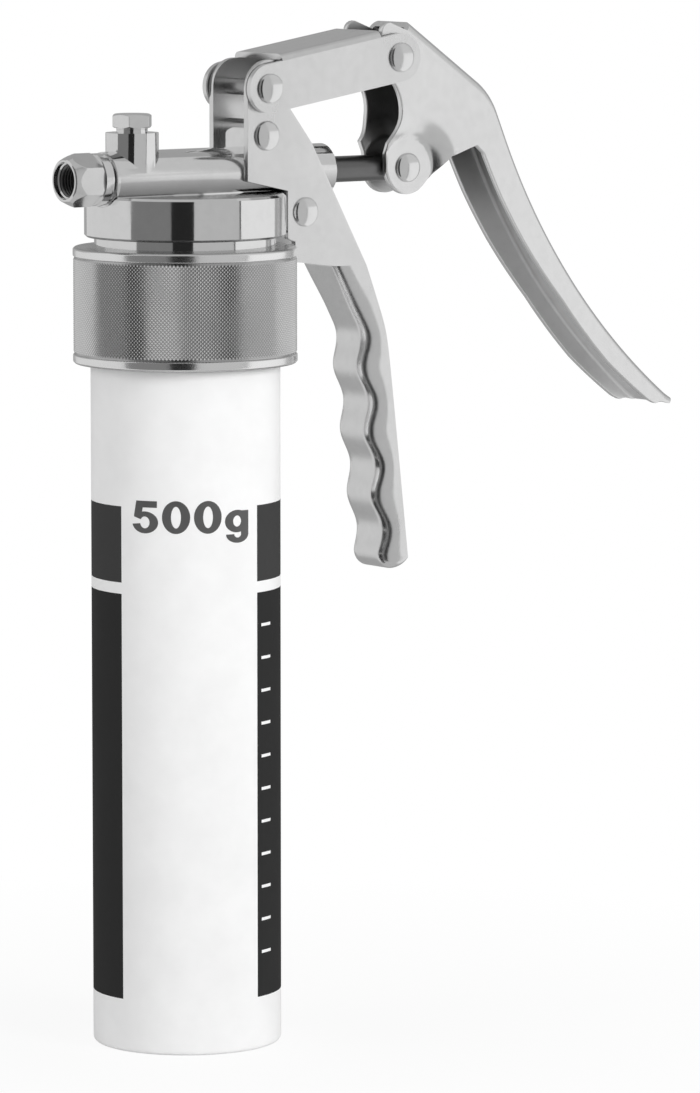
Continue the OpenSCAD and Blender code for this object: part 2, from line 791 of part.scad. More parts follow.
// The lever's head keeps its shape when its arm changes: sizes in it are parts of the arm
function of_arm(p) = p * lever_arm / 35;

// Line of the lever's back from its top to its tip, as X, Z and heading
lever_start = pivot_c + of_arm([-1, 44.8]);
function ahead(p, h, l) = p + l * [cos(h), sin(h)];
function on_arc(p, h, r, turn) = let (
        s = sign(turn),
        mid = p + s * r * [-sin(h), cos(h)]
    )
    mid + s * r * [sin(h + turn), -cos(h + turn)];
shoulder = ahead(lever_start, -lever_top_angle, lever_top_l);
shank_h = -lever_top_angle - lever_bend;
shank = on_arc(shoulder, -lever_top_angle, lever_bend_r, -lever_bend);
shank_l = of_arm(9.3);
sweep_start = ahead(shank, shank_h, shank_l);
bend_steps = 7;
sweep_steps = 18;
function back_line() = concat(
    [for (u = [0, 0.5]) let (p = ahead(lever_start, -lever_top_angle, lever_top_l * u))
        [p[0], p[1], -lever_top_angle]],
    [for (i = [0 : bend_steps]) let (
            a = lever_bend * i / bend_steps,
            p = i == 0 ? shoulder : on_arc(shoulder, -lever_top_angle, lever_bend_r, -a)
        )
        [p[0], p[1], -lever_top_angle - a]],
    [for (i = [0 : sweep_steps]) let (
            a = lever_sweep * i / sweep_steps,
            p = i == 0 ? sweep_start : on_arc(sweep_start, shank_h, lever_sweep_r, a)
        )
        [p[0], p[1], shank_h + a]]
);

// Depth of the lever's flanges along its sweep: full at the shoulder, shallow at the tip
function flange_depth(u) = flange_full * lookup(u,
    [[0, 1], [0.13, 0.972], [0.29, 0.889], [0.5, 0.731], [0.74, 0.722], [0.93, 0.574], [1, 0.37]]);

module lever_channel() {
    line = back_line();
    last = len(line) - 1;
    skin([for (i = [last : -1 : 0]) let (
            p = [line[i][0], line[i][1]],
            h = line[i][2],
            depth = flange_depth((i - last) / sweep_steps + 1),
            inward = [sin(h), -cos(h)]
        )
        placed(channel_loop(lever_w - 2 * slip, lever_fold_r, 0, lever_t, depth), p, p + inward)]);
}

// Outline of one cheek of the lever, measured from the rod's pivot
module cheek_outline() {
    inset = 1.2 * lever_t;
    line = back_line();
    relief = of_arm([-19, 17.5]);
    relief_r = of_arm(14.3);
    crown_r = of_arm(3);
    crown = of_arm([-9.6, 42]);
    difference() {
        union() {
            circle(r = ear_r);
            translate(crown) circle(r = crown_r);
            polygon(concat(
                [[-ear_r, 0], crown - [crown_r, 0], crown, crown + [0, crown_r]],
                [for (i = [0 : 10]) let (h = line[i][2])
                    [line[i][0], line[i][1]] - pivot_c + inset * [sin(h), -cos(h)]],
                [of_arm([27.4, 4.6]), of_arm([24.2, 6.2]), of_arm([14.7, 3])],
                [[ear_r * 0.75, -ear_r * 0.66]]
            ));
        }
        translate(relief) circle(r = relief_r);
    }
}

// One side of the lever's head: flat cheek, conical joggle and the ear that holds the rod
module lever_cheek() {
    flat_r = of_arm(10);
    joggle = (lever_w - ear_w) / 2;
    joggle_r = flat_r + joggle;
    lap = 0.1;
    difference() {
        sheet_y(lever_w / 2 - lever_t, lever_w / 2) translate(pivot_c) cheek_outline();
        bar_y(pivot_c, 0, lever_w, 2 * joggle_r);
    }
    intersection() {
        sheet_y(ear_in / 2, ear_w / 2) translate(pivot_c) cheek_outline();
        bar_y(pivot_c, 0, lever_w, 2 * flat_r);
    }
    intersection() {
        sheet_y(0, lever_w) translate(pivot_c) cheek_outline();
        translate([pivot_c[0], 0, pivot_c[1]]) rotate([-90, 0, 0]) rotate_extrude() polygon([
            [flat_r - lap, ear_in / 2], [joggle_r + lap, lever_w / 2 - lever_t],
            [joggle_r + lap, lever_w / 2], [flat_r - lap, ear_w / 2]
        ]);
    }
}

// Folded hand lever
module lever() {
    color("gainsboro") difference() {
        union() {
            lever_channel();
            both_sides() lever_cheek();
        }
        bar_y(pivot_b, -lever_w, lever_w, hole_d);
        bar_y(pivot_c, -lever_w, lever_w, hole_d);
    }
}

cartridge_tube();
follower_piston();
grease_charge();
neck_grease();
collar_gasket();
knurled_collar();
pump_head();
outlet_washer();
outlet_nut();
check_ball();
check_spring();
bleed_washer();
bleed_screw();
plunger_rod();
return_spring();
plunger_seal();
gland_bush();
grip_handle();
handle_rivets();
link_pivot_rivet();
pivot_washers();
link_channel();
lever_pivot_rivet();
lever();
rod_pivot_rivet();
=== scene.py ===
# %% [markdown]
# # A one-hand grease gun
# The gun stands on its white cartridge. A knurled collar holds the cartridge to a plated pump
# head, and a folded hand lever drives a plunger through the head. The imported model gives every
# size and place. This file dresses it: turned and folded pieces are made again as fine surfaces,
# and each finish is a small sum of shader nodes.

import json
import math

import bmesh
import bpy
import numpy as np
from mathutils import Matrix, Vector


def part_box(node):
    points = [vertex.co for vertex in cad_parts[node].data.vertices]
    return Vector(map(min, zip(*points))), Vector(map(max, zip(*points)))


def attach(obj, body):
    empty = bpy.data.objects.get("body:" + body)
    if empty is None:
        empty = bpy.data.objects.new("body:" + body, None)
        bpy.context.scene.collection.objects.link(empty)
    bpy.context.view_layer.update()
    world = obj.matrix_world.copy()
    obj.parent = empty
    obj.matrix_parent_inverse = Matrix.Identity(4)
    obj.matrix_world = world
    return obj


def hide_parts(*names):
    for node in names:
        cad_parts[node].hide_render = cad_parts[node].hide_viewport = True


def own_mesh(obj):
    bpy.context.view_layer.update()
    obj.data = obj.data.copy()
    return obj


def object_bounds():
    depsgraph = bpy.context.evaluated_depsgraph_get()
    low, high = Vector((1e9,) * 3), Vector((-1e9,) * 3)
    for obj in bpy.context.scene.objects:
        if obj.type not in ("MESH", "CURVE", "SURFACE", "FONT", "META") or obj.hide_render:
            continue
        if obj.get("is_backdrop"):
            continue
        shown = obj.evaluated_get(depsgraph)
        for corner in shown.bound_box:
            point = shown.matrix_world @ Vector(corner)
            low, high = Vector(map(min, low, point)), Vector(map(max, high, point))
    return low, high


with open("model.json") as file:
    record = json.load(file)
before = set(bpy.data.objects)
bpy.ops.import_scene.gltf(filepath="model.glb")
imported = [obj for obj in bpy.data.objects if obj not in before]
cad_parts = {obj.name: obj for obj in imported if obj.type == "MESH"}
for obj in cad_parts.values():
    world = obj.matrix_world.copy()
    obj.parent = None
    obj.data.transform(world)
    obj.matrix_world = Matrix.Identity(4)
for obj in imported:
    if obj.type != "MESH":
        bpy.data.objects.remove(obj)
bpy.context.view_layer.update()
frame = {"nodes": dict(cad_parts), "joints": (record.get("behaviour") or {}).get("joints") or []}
MM = 0.001
joints = {j["name"]: j for j in frame["joints"]}


def measured(node):
    """A node's lowest and highest corner in millimetres."""
    low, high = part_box(node)
    return np.array(low) / MM, np.array(high) / MM


PIVOT_C = np.array(joints["lever_squeeze"]["pos_m"])[[0, 2]] / MM
PIVOT_B = np.array(joints["link_swing"]["pos_m"])[[0, 2]] / MM
AXIS_Z = PIVOT_C[1]
DISC_TOP, DISC_FOOT = AXIS_Z - 5.3, AXIS_Z - 18.2
print("pivots", PIVOT_B, PIVOT_C, "barrel axis at", AXIS_Z)

# %% [markdown]
# ## From arrays to meshes
# A turned or swept piece is a grid of points. Row i is one ring or one section, column j is a
# place on it. Four neighbours make a face. Grids that share an edge become one skin when their
# doubled points are merged, and an edge that turns sharply is marked so that it stays crisp.

# %% Grids, merging and smoothing


def grid_faces(rows, columns, close_rows=False, close_columns=False, ridged=False):
    """Faces of a grid: each joins a point, its right neighbour and the two in the next row.

    Ridged faces are triangles: each square is cut between the two corners whose row and column
    add up to an even number."""
    i = np.arange(rows if close_rows else rows - 1)[:, None]
    j = np.arange(columns if close_columns else columns - 1)[None, :]
    a = i * columns + j
    b = i * columns + (j + 1) % columns
    c = ((i + 1) % rows) * columns + (j + 1) % columns
    d = ((i + 1) % rows) * columns + j
    if ridged:
        even = ((i + j) % 2 == 0)[..., None]
        first = np.where(even, np.stack([a, b, c], -1), np.stack([a, b, d], -1))
        second = np.where(even, np.stack([a, c, d], -1), np.stack([b, c, d], -1))
        return np.concatenate([first.reshape(-1, 3), second.reshape(-1, 3)])
    return np.stack([a, b, c, d], -1).reshape(-1, 4)


def skin_object(name, grids, weld=0.0005, crisp=35.0):
    """One object from grids of points in millimetres, each with its closed ways and its finish."""
    points, faces, finish, start = [], [], [], 0
    for grid, close_rows, close_columns, *more in grids:
        rows, columns = grid.shape[:2]
        number, ridged = (*more, *(0, False)[len(more) :])
        points.append(grid.reshape(-1, 3))
        made = grid_faces(rows, columns, close_rows, close_columns, ridged) + start
        faces.extend(made.tolist())
        finish.append(np.full(len(made), number))
        start += rows * columns
    points = np.concatenate(points) * MM
    mesh = bpy.data.meshes.new(name)
    mesh.from_pydata(points.tolist(), [], faces)
    mesh.polygons.foreach_set("material_index", np.concatenate(finish).astype(np.int32))
    obj = bpy.data.objects.new(name, mesh)
    bpy.context.scene.collection.objects.link(obj)
    tidy_mesh(mesh, weld * MM, crisp, True)
    return obj


def tidy_mesh(mesh, weld, crisp, turn_out=False):
    """Doubled points become one, faces smooth, edges sharper than the given angle crisp.

    A skin of our own also has its faces turned outwards. A copied mesh already has them so."""
    work = bmesh.new()
    work.from_mesh(mesh)
    bmesh.ops.remove_doubles(work, verts=work.verts, dist=weld)
    bmesh.ops.dissolve_degenerate(work, edges=work.edges, dist=weld / 10)
    if turn_out:
        bmesh.ops.recalc_face_normals(work, faces=work.faces)
    work.to_mesh(mesh)
    work.free()
    if "custom_normal" in mesh.attributes:
        mesh.attributes.remove(mesh.attributes["custom_normal"])
    mesh.shade_smooth()
    mesh.set_sharp_from_angle(angle=math.radians(crisp))


def face_round(mesh):
    """Turns every face away from the upright axis: its normal and its place point the same way."""
    work = bmesh.new()
    work.from_mesh(mesh)
    wrong = [f for f in work.faces if f.normal.xy.dot(f.calc_center_median().xy) < 0]
    bmesh.ops.reverse_faces(work, faces=wrong)
    work.to_mesh(mesh)
    work.free()


def finish_mesh(obj, crisp=35.0):
    """The object's modifiers become its mesh, so that its edges can be marked again."""
    depsgraph = bpy.context.evaluated_depsgraph_get()
    made = bpy.data.meshes.new_from_object(obj.evaluated_get(depsgraph))
    obj.modifiers.clear()
    obj.data = made
    made.shade_smooth()
    made.set_sharp_from_angle(angle=math.radians(crisp))
    return obj


def settle(obj, body, slot, finishes, *nodes):
    """The piece rides on its body, stands for its nodes and wears one finish or a list of them."""
    finishes = finishes if isinstance(finishes, list) else [finishes]
    faces = obj.data.polygons
    number = np.zeros(len(faces), np.int32)
    faces.foreach_get("material_index", number)
    obj.data.materials.clear()
    for material in finishes:
        obj.data.materials.append(material)
    faces.foreach_set("material_index", np.minimum(number, len(finishes) - 1))
    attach(obj, body)
    if nodes:
        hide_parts(*nodes)
    print(obj.name, len(obj.data.polygons), "faces on", body)
    return obj


print("a ring of 4 by 3 points has", len(grid_faces(4, 3, True)), "faces")

# %% [markdown]
# ## Shader sums
# A finish is easier to read as a sum than as a web of nodes. A Wire is one output socket, and the
# usual operators add a Math node to it. Any other node comes from one method of the material.

# %% Wires and finishes


class Wire:
    """An output socket that takes part in Python sums."""

    def __init__(self, finish, socket):
        self.finish, self.socket = finish, socket

    def math(self, operation, *values):
        return self.finish.node("ShaderNodeMath", {"operation": operation}, dict(enumerate(values)))

    def __add__(self, other):
        return self.math("ADD", self, other)

    def __radd__(self, other):
        return self.math("ADD", other, self)

    def __sub__(self, other):
        return self.math("SUBTRACT", self, other)

    def __rsub__(self, other):
        return self.math("SUBTRACT", other, self)

    def __mul__(self, other):
        return self.math("MULTIPLY", self, other)

    def __rmul__(self, other):
        return self.math("MULTIPLY", other, self)

    def __truediv__(self, other):
        return self.math("DIVIDE", self, other)

    def __gt__(self, other):
        return self.math("GREATER_THAN", self, other)

    def __lt__(self, other):
        return self.math("LESS_THAN", self, other)

    def __abs__(self):
        return self.math("ABSOLUTE", self)


class Finish:
    """A node material with one main shader."""

    def __init__(self, name):
        self.material = bpy.data.materials.new(name)
        self.material.use_nodes = True
        self.tree = self.material.node_tree
        self.shader = self.tree.nodes["Principled BSDF"]

    def node(self, kind, settings=None, inputs=None, out=0):
        """A new node: its settings first, then its sockets, as values or as wires."""
        made = self.tree.nodes.new(kind)
        for key, value in (settings or {}).items():
            setattr(made, key, value)
        for key, value in (inputs or {}).items():
            self.feed(made.inputs[key], value)
        return Wire(self, made.outputs[out])

    def feed(self, socket, value):
        if isinstance(value, Wire):
            self.tree.links.new(value.socket, socket)
        else:
            socket.default_value = value

    def wear(self, **sockets):
        """Sets the main shader's sockets by name, with _ for a space."""
        for key, value in sockets.items():
            self.feed(self.shader.inputs[key.replace("_", " ")], value)
        return self.material

    def place(self):
        return self.node("ShaderNodeTexCoord", out="Object")

    def split(self, vector):
        made = self.node("ShaderNodeSeparateXYZ", None, {0: vector}).socket.node
        return [Wire(self, made.outputs[k]) for k in range(3)]

    def noise(self, vector, scale, detail=4.0, roughness=0.55):
        return self.node(
            "ShaderNodeTexNoise",
            None,
            {"Vector": vector, "Scale": scale, "Detail": detail, "Roughness": roughness},
        )

    def stretched(self, vector, scale):
        return self.node("ShaderNodeMapping", None, {"Vector": vector, "Scale": scale})

    def ramp(self, value, low, high, from_min=0.0, from_max=1.0):
        return self.node(
            "ShaderNodeMapRange",
            None,
            {"Value": value, 1: from_min, 2: from_max, 3: low, 4: high},
        )

    def vector(self, operation, first, second=None, out=0):
        inputs = {0: first} if second is None else {0: first, 1: second}
        return self.node("ShaderNodeVectorMath", {"operation": operation}, inputs, out)

    def toned(self, colour, tone):
        """A colour times a tone."""
        return self.node(
            "ShaderNodeVectorMath", {"operation": "SCALE"}, {0: colour[:3], "Scale": tone}
        )

    def mixed(self, mask, first, second):
        """The first colour where the mask is 0 and the second where it is 1."""
        made = self.tree.nodes.new("ShaderNodeMix")
        made.data_type = "RGBA"
        self.feed(made.inputs["Factor"], mask)
        self.feed(made.inputs[6], first)
        self.feed(made.inputs[7], second)
        return Wire(self, made.outputs[2])

    def bump(self, height, strength, distance):
        return self.node(
            "ShaderNodeBump", None, {"Height": height, "Strength": strength, "Distance": distance}
        )


def grey(value):
    return (value, value, value, 1.0)


print("wires can add, subtract, multiply, divide and compare")

# %% [markdown]
# ## The metals
# The head is cast, polished and plated: a near mirror with faint ripples and a few dull spots.
# The sheet pieces are plated too, but rolled and pressed, so they blur what they reflect. Turned
# fasteners carry fine rings. The rod is blackened.

# %% Metal finishes
DRIFT_SCALE, SPOT_SCALE, RIPPLE_SCALE = 45.0, 320.0, 160.0
# Painted shade on the lever's inside: where it starts to clear, where it is gone, how dark it is, and
# round which place.
PAINTED_SHADE_NEAR, PAINTED_SHADE_FAR, PAINTED_SHADE_TONE = 18.0, 46.0, 0.45
PAINTED_SHADE_PLACE = ((PIVOT_C[0] + 14) * MM, 0.0, (PIVOT_C[1] + 16) * MM)
ALONG_X, ALONG_Z = (0.1, 1.0, 1.0), (1.0, 1.0, 0.1)


def metal(
    name, colour, smooth, dull, ripple, grain=(1, 1, 1), grain_scale=900.0, grain_depth=0.0,
    painted_shade_at=None, haze=None, painted_crease_shade=None,
):
    """A bare metal: roughness drifts between smooth and dull, and a fine grain lies over it.

    Round one place the colour is darkened as painted shade, which clears with the distance. A haze
    makes it rougher near one height. Above a given foot height the colour starts darkened as painted
    shade and clears upwards."""
    finish = Finish(name)
    place = finish.place()
    drift = finish.noise(place, DRIFT_SCALE, 5.0)
    spots = finish.noise(place, SPOT_SCALE, 2.0)
    lines = finish.noise(finish.stretched(place, grain), grain_scale, 3.0)
    rough = finish.ramp(drift, smooth, dull, 0.35, 0.7) + (lines - 0.5) * grain_depth
    if haze:
        middle, near, far, more = haze
        off = abs(finish.split(place)[2] - middle * MM)
        rough = rough + finish.ramp(off, more, 0.0, near * MM, far * MM)
    tone = finish.ramp(spots, 0.97, 1.0, 0.3, 0.6)
    # Painted shade: the colour is darkened round one place and clears with the distance.
    if painted_shade_at:
        reach = finish.vector("LENGTH", finish.vector("SUBTRACT", place, painted_shade_at), out="Value")
        tone = tone * finish.ramp(reach, PAINTED_SHADE_TONE, 1.0, PAINTED_SHADE_NEAR * MM, PAINTED_SHADE_FAR * MM)
    # Painted shade: above the foot height the colour starts dark and clears upwards.
    if painted_crease_shade:
        foot, clear, dark = painted_crease_shade
        level = finish.split(place)[2]
        fade = finish.ramp(level, dark, 1.0, foot * MM, clear * MM)
        above = finish.ramp(level, 0.0, 1.0, (foot - 0.3) * MM, foot * MM)
        tone = tone * (1.0 + above * (fade - 1.0))
    shade = finish.toned(colour, tone)
    height = finish.noise(place, RIPPLE_SCALE, 2.0) * ripple + lines * (grain_depth * 0.2)
    normal = finish.bump(height, 0.25, 0.0004)
    return finish.wear(Base_Color=shade, Metallic=1.0, Roughness=rough, Normal=normal)


# The head's colour is darkened above the disc's top as painted shade under the barrel, and it clears
# towards the axis.
plated_casting = metal(
    "plated_casting", grey(0.86), 0.05, 0.12, 0.10,
    haze=(AXIS_Z, 3.4, 5.2, 0.11), painted_crease_shade=(DISC_TOP + 0.4, AXIS_Z + 0.6, 0.40),
)
bright_steel = metal("bright_turned_steel", grey(0.84), 0.08, 0.16, 0.06)
plated_sheet = metal("plated_sheet", grey(0.84), 0.21, 0.28, 0.04, (1, 1, 0.08), 1400.0, 0.05)
polished_sheet = metal("polished_sheet", grey(0.88), 0.20, 0.27, 0.04, ALONG_Z, 1200.0, 0.03)
rivet_steel = metal("set_rivet_steel", grey(0.88), 0.13, 0.19, 0.06)
# The washers' colour is darkened as painted shade between the plates and the link.
shaded_washer_steel = metal("painted_shade_washers", grey(0.42), 0.20, 0.30, 0.06)
# The handle's inside is rougher, and its colour is darkened as painted shade.
shaded_inside = metal("painted_shade_inside_of_folds", grey(0.46), 0.32, 0.46, 0.08, ALONG_Z, 900.0, 0.05)
# The lever's inside is darkened round the pivot as painted shade.
lever_inside = metal(
    "inside_of_lever_painted_shade", grey(0.88), 0.32, 0.46, 0.08, ALONG_Z, 900.0, 0.05, PAINTED_SHADE_PLACE
)
# The thread and the passage behind it are given a dark steel colour.
dark_thread_steel = metal("dark_thread_steel", grey(0.16), 0.25, 0.35, 0.05)
black_steel = metal("black_oxide_steel", grey(0.20), 0.28, 0.40, 0.05, ALONG_X, 900.0, 0.08)
spring_steel = metal("drawn_spring_wire", grey(0.5), 0.25, 0.35, 0.05)
bush_brass = metal("turned_brass", (0.75, 0.58, 0.28, 1.0), 0.2, 0.3, 0.05)
print("metals made")

# %% [markdown]
# ## The knurl's finish
# A knurling wheel presses two families of helical grooves into the collar, and the pyramids
# between them are what a thumb feels. Their shape is made later, as real faces. The finish only
# knows how deep a point lies: the grooves are darkened as painted shade, and the tips stay light.

# %% Knurled steel
collar_low, collar_high = measured("knurled_collar")
COLLAR_R = (collar_high[0] - collar_low[0]) / 2
KNURL_TEETH, KNURL_DEEP, KNURL_BELOW, KNURL_BAND = 190, 0.26, 0.12, 3.0
TIP_R = COLLAR_R - KNURL_BELOW
GROOVE_R = TIP_R - KNURL_DEEP


def knurled_steel():
    """Tone and roughness follow the distance from the axis, from the grooves to the tips."""
    finish = Finish("knurled_steel")
    place = finish.place()
    flat = finish.vector("MULTIPLY", place, (1.0, 1.0, 0.0))
    reach = finish.vector("LENGTH", flat, out="Value")
    height = finish.ramp(reach, 0.0, 1.0, GROOVE_R * MM, TIP_R * MM)
    worn = finish.noise(place, 70.0, 4.0)
    # Painted shade: the colour darkens from the tips down into the grooves.
    tone = finish.ramp(height, 0.58, 0.98) - worn * 0.06
    colour = finish.mixed(tone, grey(0.0), grey(1.0))
    rough = finish.ramp(worn, 0.20, 0.30, 0.3, 0.7) - height * 0.06
    normal = finish.bump(finish.noise(place, 900.0, 2.0), 0.06, 0.0002)
    return finish.wear(Base_Color=colour, Metallic=1.0, Roughness=rough, Normal=normal)


knurl = knurled_steel()
print("knurl pitch", round(2 * math.pi * COLLAR_R / KNURL_TEETH, 3), "mm")

# %% [markdown]
# ## The cartridge's print
# The cartridge is glossy white plastic with a printed sleeve: dark fields on both sides of a white
# front. The print follows the angle round the tube, measured from the middle of the white front,
# and the height. A plain level scale and a straight band are all that the fields carry.

# %% White plastic with printed fields
AZIMUTH, ELEVATION = math.radians(36.5), math.radians(6.7)
FRONT = np.array([-math.sin(AZIMUTH), -math.cos(AZIMUTH)])
ASIDE = np.array([-FRONT[1], FRONT[0]])
FIELD_LEFT, FIELD_RIGHT, FIELD_BACK = -41.0, 49.5, 150.0
FIELD_BOTTOM, FIELD_TOP = 16.3, 166.5
BAND_LOW, BAND_HIGH = 140.0, 143.4
TICK_STEP, TICK_HALF = 10.0, 0.45
TICKS_LOW, TICKS_HIGH, TICKS_NEAR, TICKS_FAR = 26.0, 134.0, FIELD_RIGHT + 4, FIELD_RIGHT + 14


def printed_plastic():
    """Fields, band and ticks are products of comparisons: each is 1 inside its limits, else 0."""
    finish = Finish("printed_white_plastic")
    place = finish.place()
    x, y, z = finish.split(place)
    toward = x * FRONT[0] + y * FRONT[1]
    aside = x * ASIDE[0] + y * ASIDE[1]
    angle = aside.math("ARCTAN2", aside, toward) * (180 / math.pi)
    height = z / MM
    left = (angle < FIELD_LEFT) * (angle > -FIELD_BACK)
    right = (angle > FIELD_RIGHT) * (angle < FIELD_BACK)
    tall = (height > FIELD_BOTTOM) * (height < FIELD_TOP)
    band = (height > BAND_LOW) * (height < BAND_HIGH)
    tick_wave = abs(height.math("WRAP", height, TICK_STEP / 2, -TICK_STEP / 2))
    ticks = (tick_wave < TICK_HALF) * (angle > TICKS_NEAR) * (angle < TICKS_FAR)
    ticks = ticks * (height > TICKS_LOW) * (height < TICKS_HIGH)
    dark = (left + right) * tall * (1 - band) * (1 - ticks)
    upper = height > BAND_HIGH
    ink = finish.mixed(upper, grey(0.030), grey(0.054))
    mottle = finish.ramp(finish.noise(place, 90.0, 3.0), 0.9, 0.94, 0.3, 0.7)
    white = finish.mixed(mottle, grey(0.0), grey(1.0))
    colour = finish.mixed(dark, white, ink)
    rough = finish.ramp(finish.noise(place, 60.0, 3.0), 0.38, 0.48, 0.3, 0.7) + dark * 0.3
    normal = finish.bump(finish.noise(place, 220.0, 2.0), 0.04, 0.0004)
    return finish.wear(Base_Color=colour, Roughness=rough, Normal=normal, Specular_IOR_Level=0.06)


white_plastic = printed_plastic()


def plain(name, colour, smooth, dull, grain):
    """A dull, even stuff such as rubber: its tone and roughness drift a little."""
    finish = Finish(name)
    place = finish.place()
    cloud = finish.noise(place, 120.0, 4.0)
    tone = finish.ramp(cloud, 0.85, 1.0, 0.3, 0.7)
    shade = finish.toned(colour, tone)
    normal = finish.bump(finish.noise(place, 900.0, 3.0), grain, 0.0003)
    rough = finish.ramp(cloud, smooth, dull, 0.3, 0.7)
    return finish.wear(Base_Color=shade, Roughness=rough, Normal=normal)


seal_rubber = plain("seal_rubber", grey(0.02), 0.6, 0.8, 0.3)
grey_plastic = plain("follower_plastic", grey(0.12), 0.4, 0.6, 0.2)
grease = plain("amber_grease", (0.5, 0.3, 0.08, 1.0), 0.15, 0.35, 0.3)
print_ink = plain("print_ink", grey(0.10), 0.3, 0.4, 0.05)
print("plastics made")

# %% [markdown]
# ## Turned pieces
# A lathe cuts a profile round an axis. The profile is a list of radius and height, and each ring of
# the grid is that profile at one angle. Corners of the profile get a small round of their own, as a
# tool leaves them.

# %% The lathe


def rounded(profile, radii, steps=5):
    """A profile whose corners are cut by arcs: each corner gives way to points on a small curve.

    The curve runs from a point before the corner to one after it, on a parabola whose control
    point is the corner itself."""
    profile = np.asarray(profile, float)
    radii = np.broadcast_to(np.asarray(radii, float), len(profile))
    out = [profile[0]]
    for k in range(1, len(profile) - 1):
        p, a, b = profile[k], profile[k - 1], profile[k + 1]
        r = min(radii[k], np.linalg.norm(a - p) * 0.45, np.linalg.norm(b - p) * 0.45)
        start = p + (a - p) / np.linalg.norm(a - p) * r
        end = p + (b - p) / np.linalg.norm(b - p) * r
        t = np.linspace(0, 1, steps)[:, None]
        out.extend((1 - t) ** 2 * start + 2 * t * (1 - t) * p + t**2 * end)
    out.append(profile[-1])
    return np.array(out)


def turned(profile, angles):
    """A profile carried round an axis: radius times cosine, radius times sine, and height."""
    r, h = profile[:, 0][None, :], profile[:, 1][None, :]
    a = angles[:, None]
    x, y = r * np.cos(a), r * np.sin(a)
    return np.stack([x, y, np.broadcast_to(h, x.shape)], -1)


def laid(points, axis, origin):
    """Turns a piece made about Z so that it lies about X, Y or Z, and moves it to its place."""
    order = {"x": [2, 0, 1], "y": [1, 2, 0], "z": [0, 1, 2]}[axis]
    return points[..., order] + np.asarray(origin, float)


ROUND = np.linspace(0, 2 * math.pi, 192, endpoint=False)
print(len(ROUND), "angles to a turn")

# %% [markdown]
# The cartridge is a tube with a flat base, a shoulder under the collar and a narrower screw neck. Its
# profile goes out along the base, up the outside, over the neck and down the inside again.

# %% The cartridge
tube_low, tube_high = measured("cartridge_tube")
TUBE_R, TUBE_TOP = tube_high[0], tube_high[2]
TUBE_WALL, BASE_T, COLLAR_WALL, NECK_PLAY = 1.8, 2.0, 7.0, 0.25
SHOULDER_Z = collar_low[2] - 0.3
MOUTH_R = COLLAR_R - COLLAR_WALL - NECK_PLAY
bore_r, mouth_bore = TUBE_R - TUBE_WALL, MOUTH_R - TUBE_WALL
tube_profile = rounded(
    [
        (0, 0), (TUBE_R, 0), (TUBE_R, SHOULDER_Z), (MOUTH_R, SHOULDER_Z), (MOUTH_R, TUBE_TOP),
        (mouth_bore, TUBE_TOP), (mouth_bore, SHOULDER_Z - TUBE_WALL),
        (bore_r, SHOULDER_Z - TUBE_WALL), (bore_r, BASE_T), (0, BASE_T),
    ],
    [0, 1.8, 0.5, 0.2, 0.3, 0.3, 0.2, 0.2, 0.3, 0],
    9,
)
cartridge = skin_object("printed_cartridge", [(turned(tube_profile, ROUND), True, False)])
settle(cartridge, "gun_body", "white_plastic", white_plastic, "cartridge_tube")

# %% [markdown]
# The weight is printed in heavy figures on the white front. Each figure is made of ribbons: parts
# of thick rings, and bars with four corners. A ribbon is flat at first. Then it is wrapped, and the
# distance along the line becomes an angle round the tube.

# %% Wrapped figures
LINE_BASE, LINE_TALL, LINE_LONG, LINE_MIDDLE = 158.9, 9.9, 37.4, 5.0
LINE_UNITS = 3.48
PRINT_LIFT, PATCH_LIFT = 0.03, 0.01


def ring_part(middle, outer, inner, start, end):
    """Points between two ovals: the rows follow the angle, the columns go from oval to oval."""
    a = np.radians(np.linspace(start, end, 48))[:, None]
    t = np.linspace(0, 1, 3)[None, :]
    rx = outer[0] + (inner[0] - outer[0]) * t
    ry = outer[1] + (inner[1] - outer[1]) * t
    return np.stack([middle[0] + rx * np.cos(a), middle[1] + ry * np.sin(a)], -1)


def bar_part(a, b, c, d):
    """A patch between four corners: rows blend a to b into d to c."""
    u = np.linspace(0, 1, 12)[:, None, None]
    v = np.linspace(0, 1, 8)[None, :, None]
    a, b, c, d = (np.asarray(p, float) for p in (a, b, c, d))
    return (1 - v) * ((1 - u) * a + u * b) + v * ((1 - u) * d + u * c)


def figure_five(x):
    return [
        ring_part((x + 0.39, 0.33), (0.40, 0.335), (0.145, 0.18), -170, 150),
        bar_part((x + 0.124, 0.985), (x + 0.042, 0.50), (x + 0.267, 0.42), (x + 0.33, 0.80)),
        bar_part((x + 0.124, 0.985), (x + 0.09, 0.785), (x + 0.756, 0.785), (x + 0.756, 0.985)),
    ]


def figure_nought(x):
    return [ring_part((x + 0.397, 0.5), (0.397, 0.5), (0.14, 0.33), 0, 360)]


def letter_g(x):
    return [
        ring_part((x + 0.385, 0.343), (0.385, 0.343), (0.128, 0.17), 15, 345),
        bar_part((x + 0.515, 0.66), (x + 0.515, -0.05), (x + 0.777, -0.05), (x + 0.777, 0.66)),
        ring_part((x + 0.405, -0.05), (0.372, 0.27), (0.112, 0.11), 0, -180),
    ]


def wrapped(patch, lift):
    """Distance over radius is the angle round the tube, and the second coordinate is the height."""
    along = (patch[..., 0] / LINE_UNITS - 0.5) * LINE_LONG
    angle = along / TUBE_R + math.radians(LINE_MIDDLE)
    r = TUBE_R + lift
    x = r * (FRONT[0] * np.cos(angle) + ASIDE[0] * np.sin(angle))
    y = r * (FRONT[1] * np.cos(angle) + ASIDE[1] * np.sin(angle))
    return np.stack([x, y, LINE_BASE + patch[..., 1] * LINE_TALL], -1)


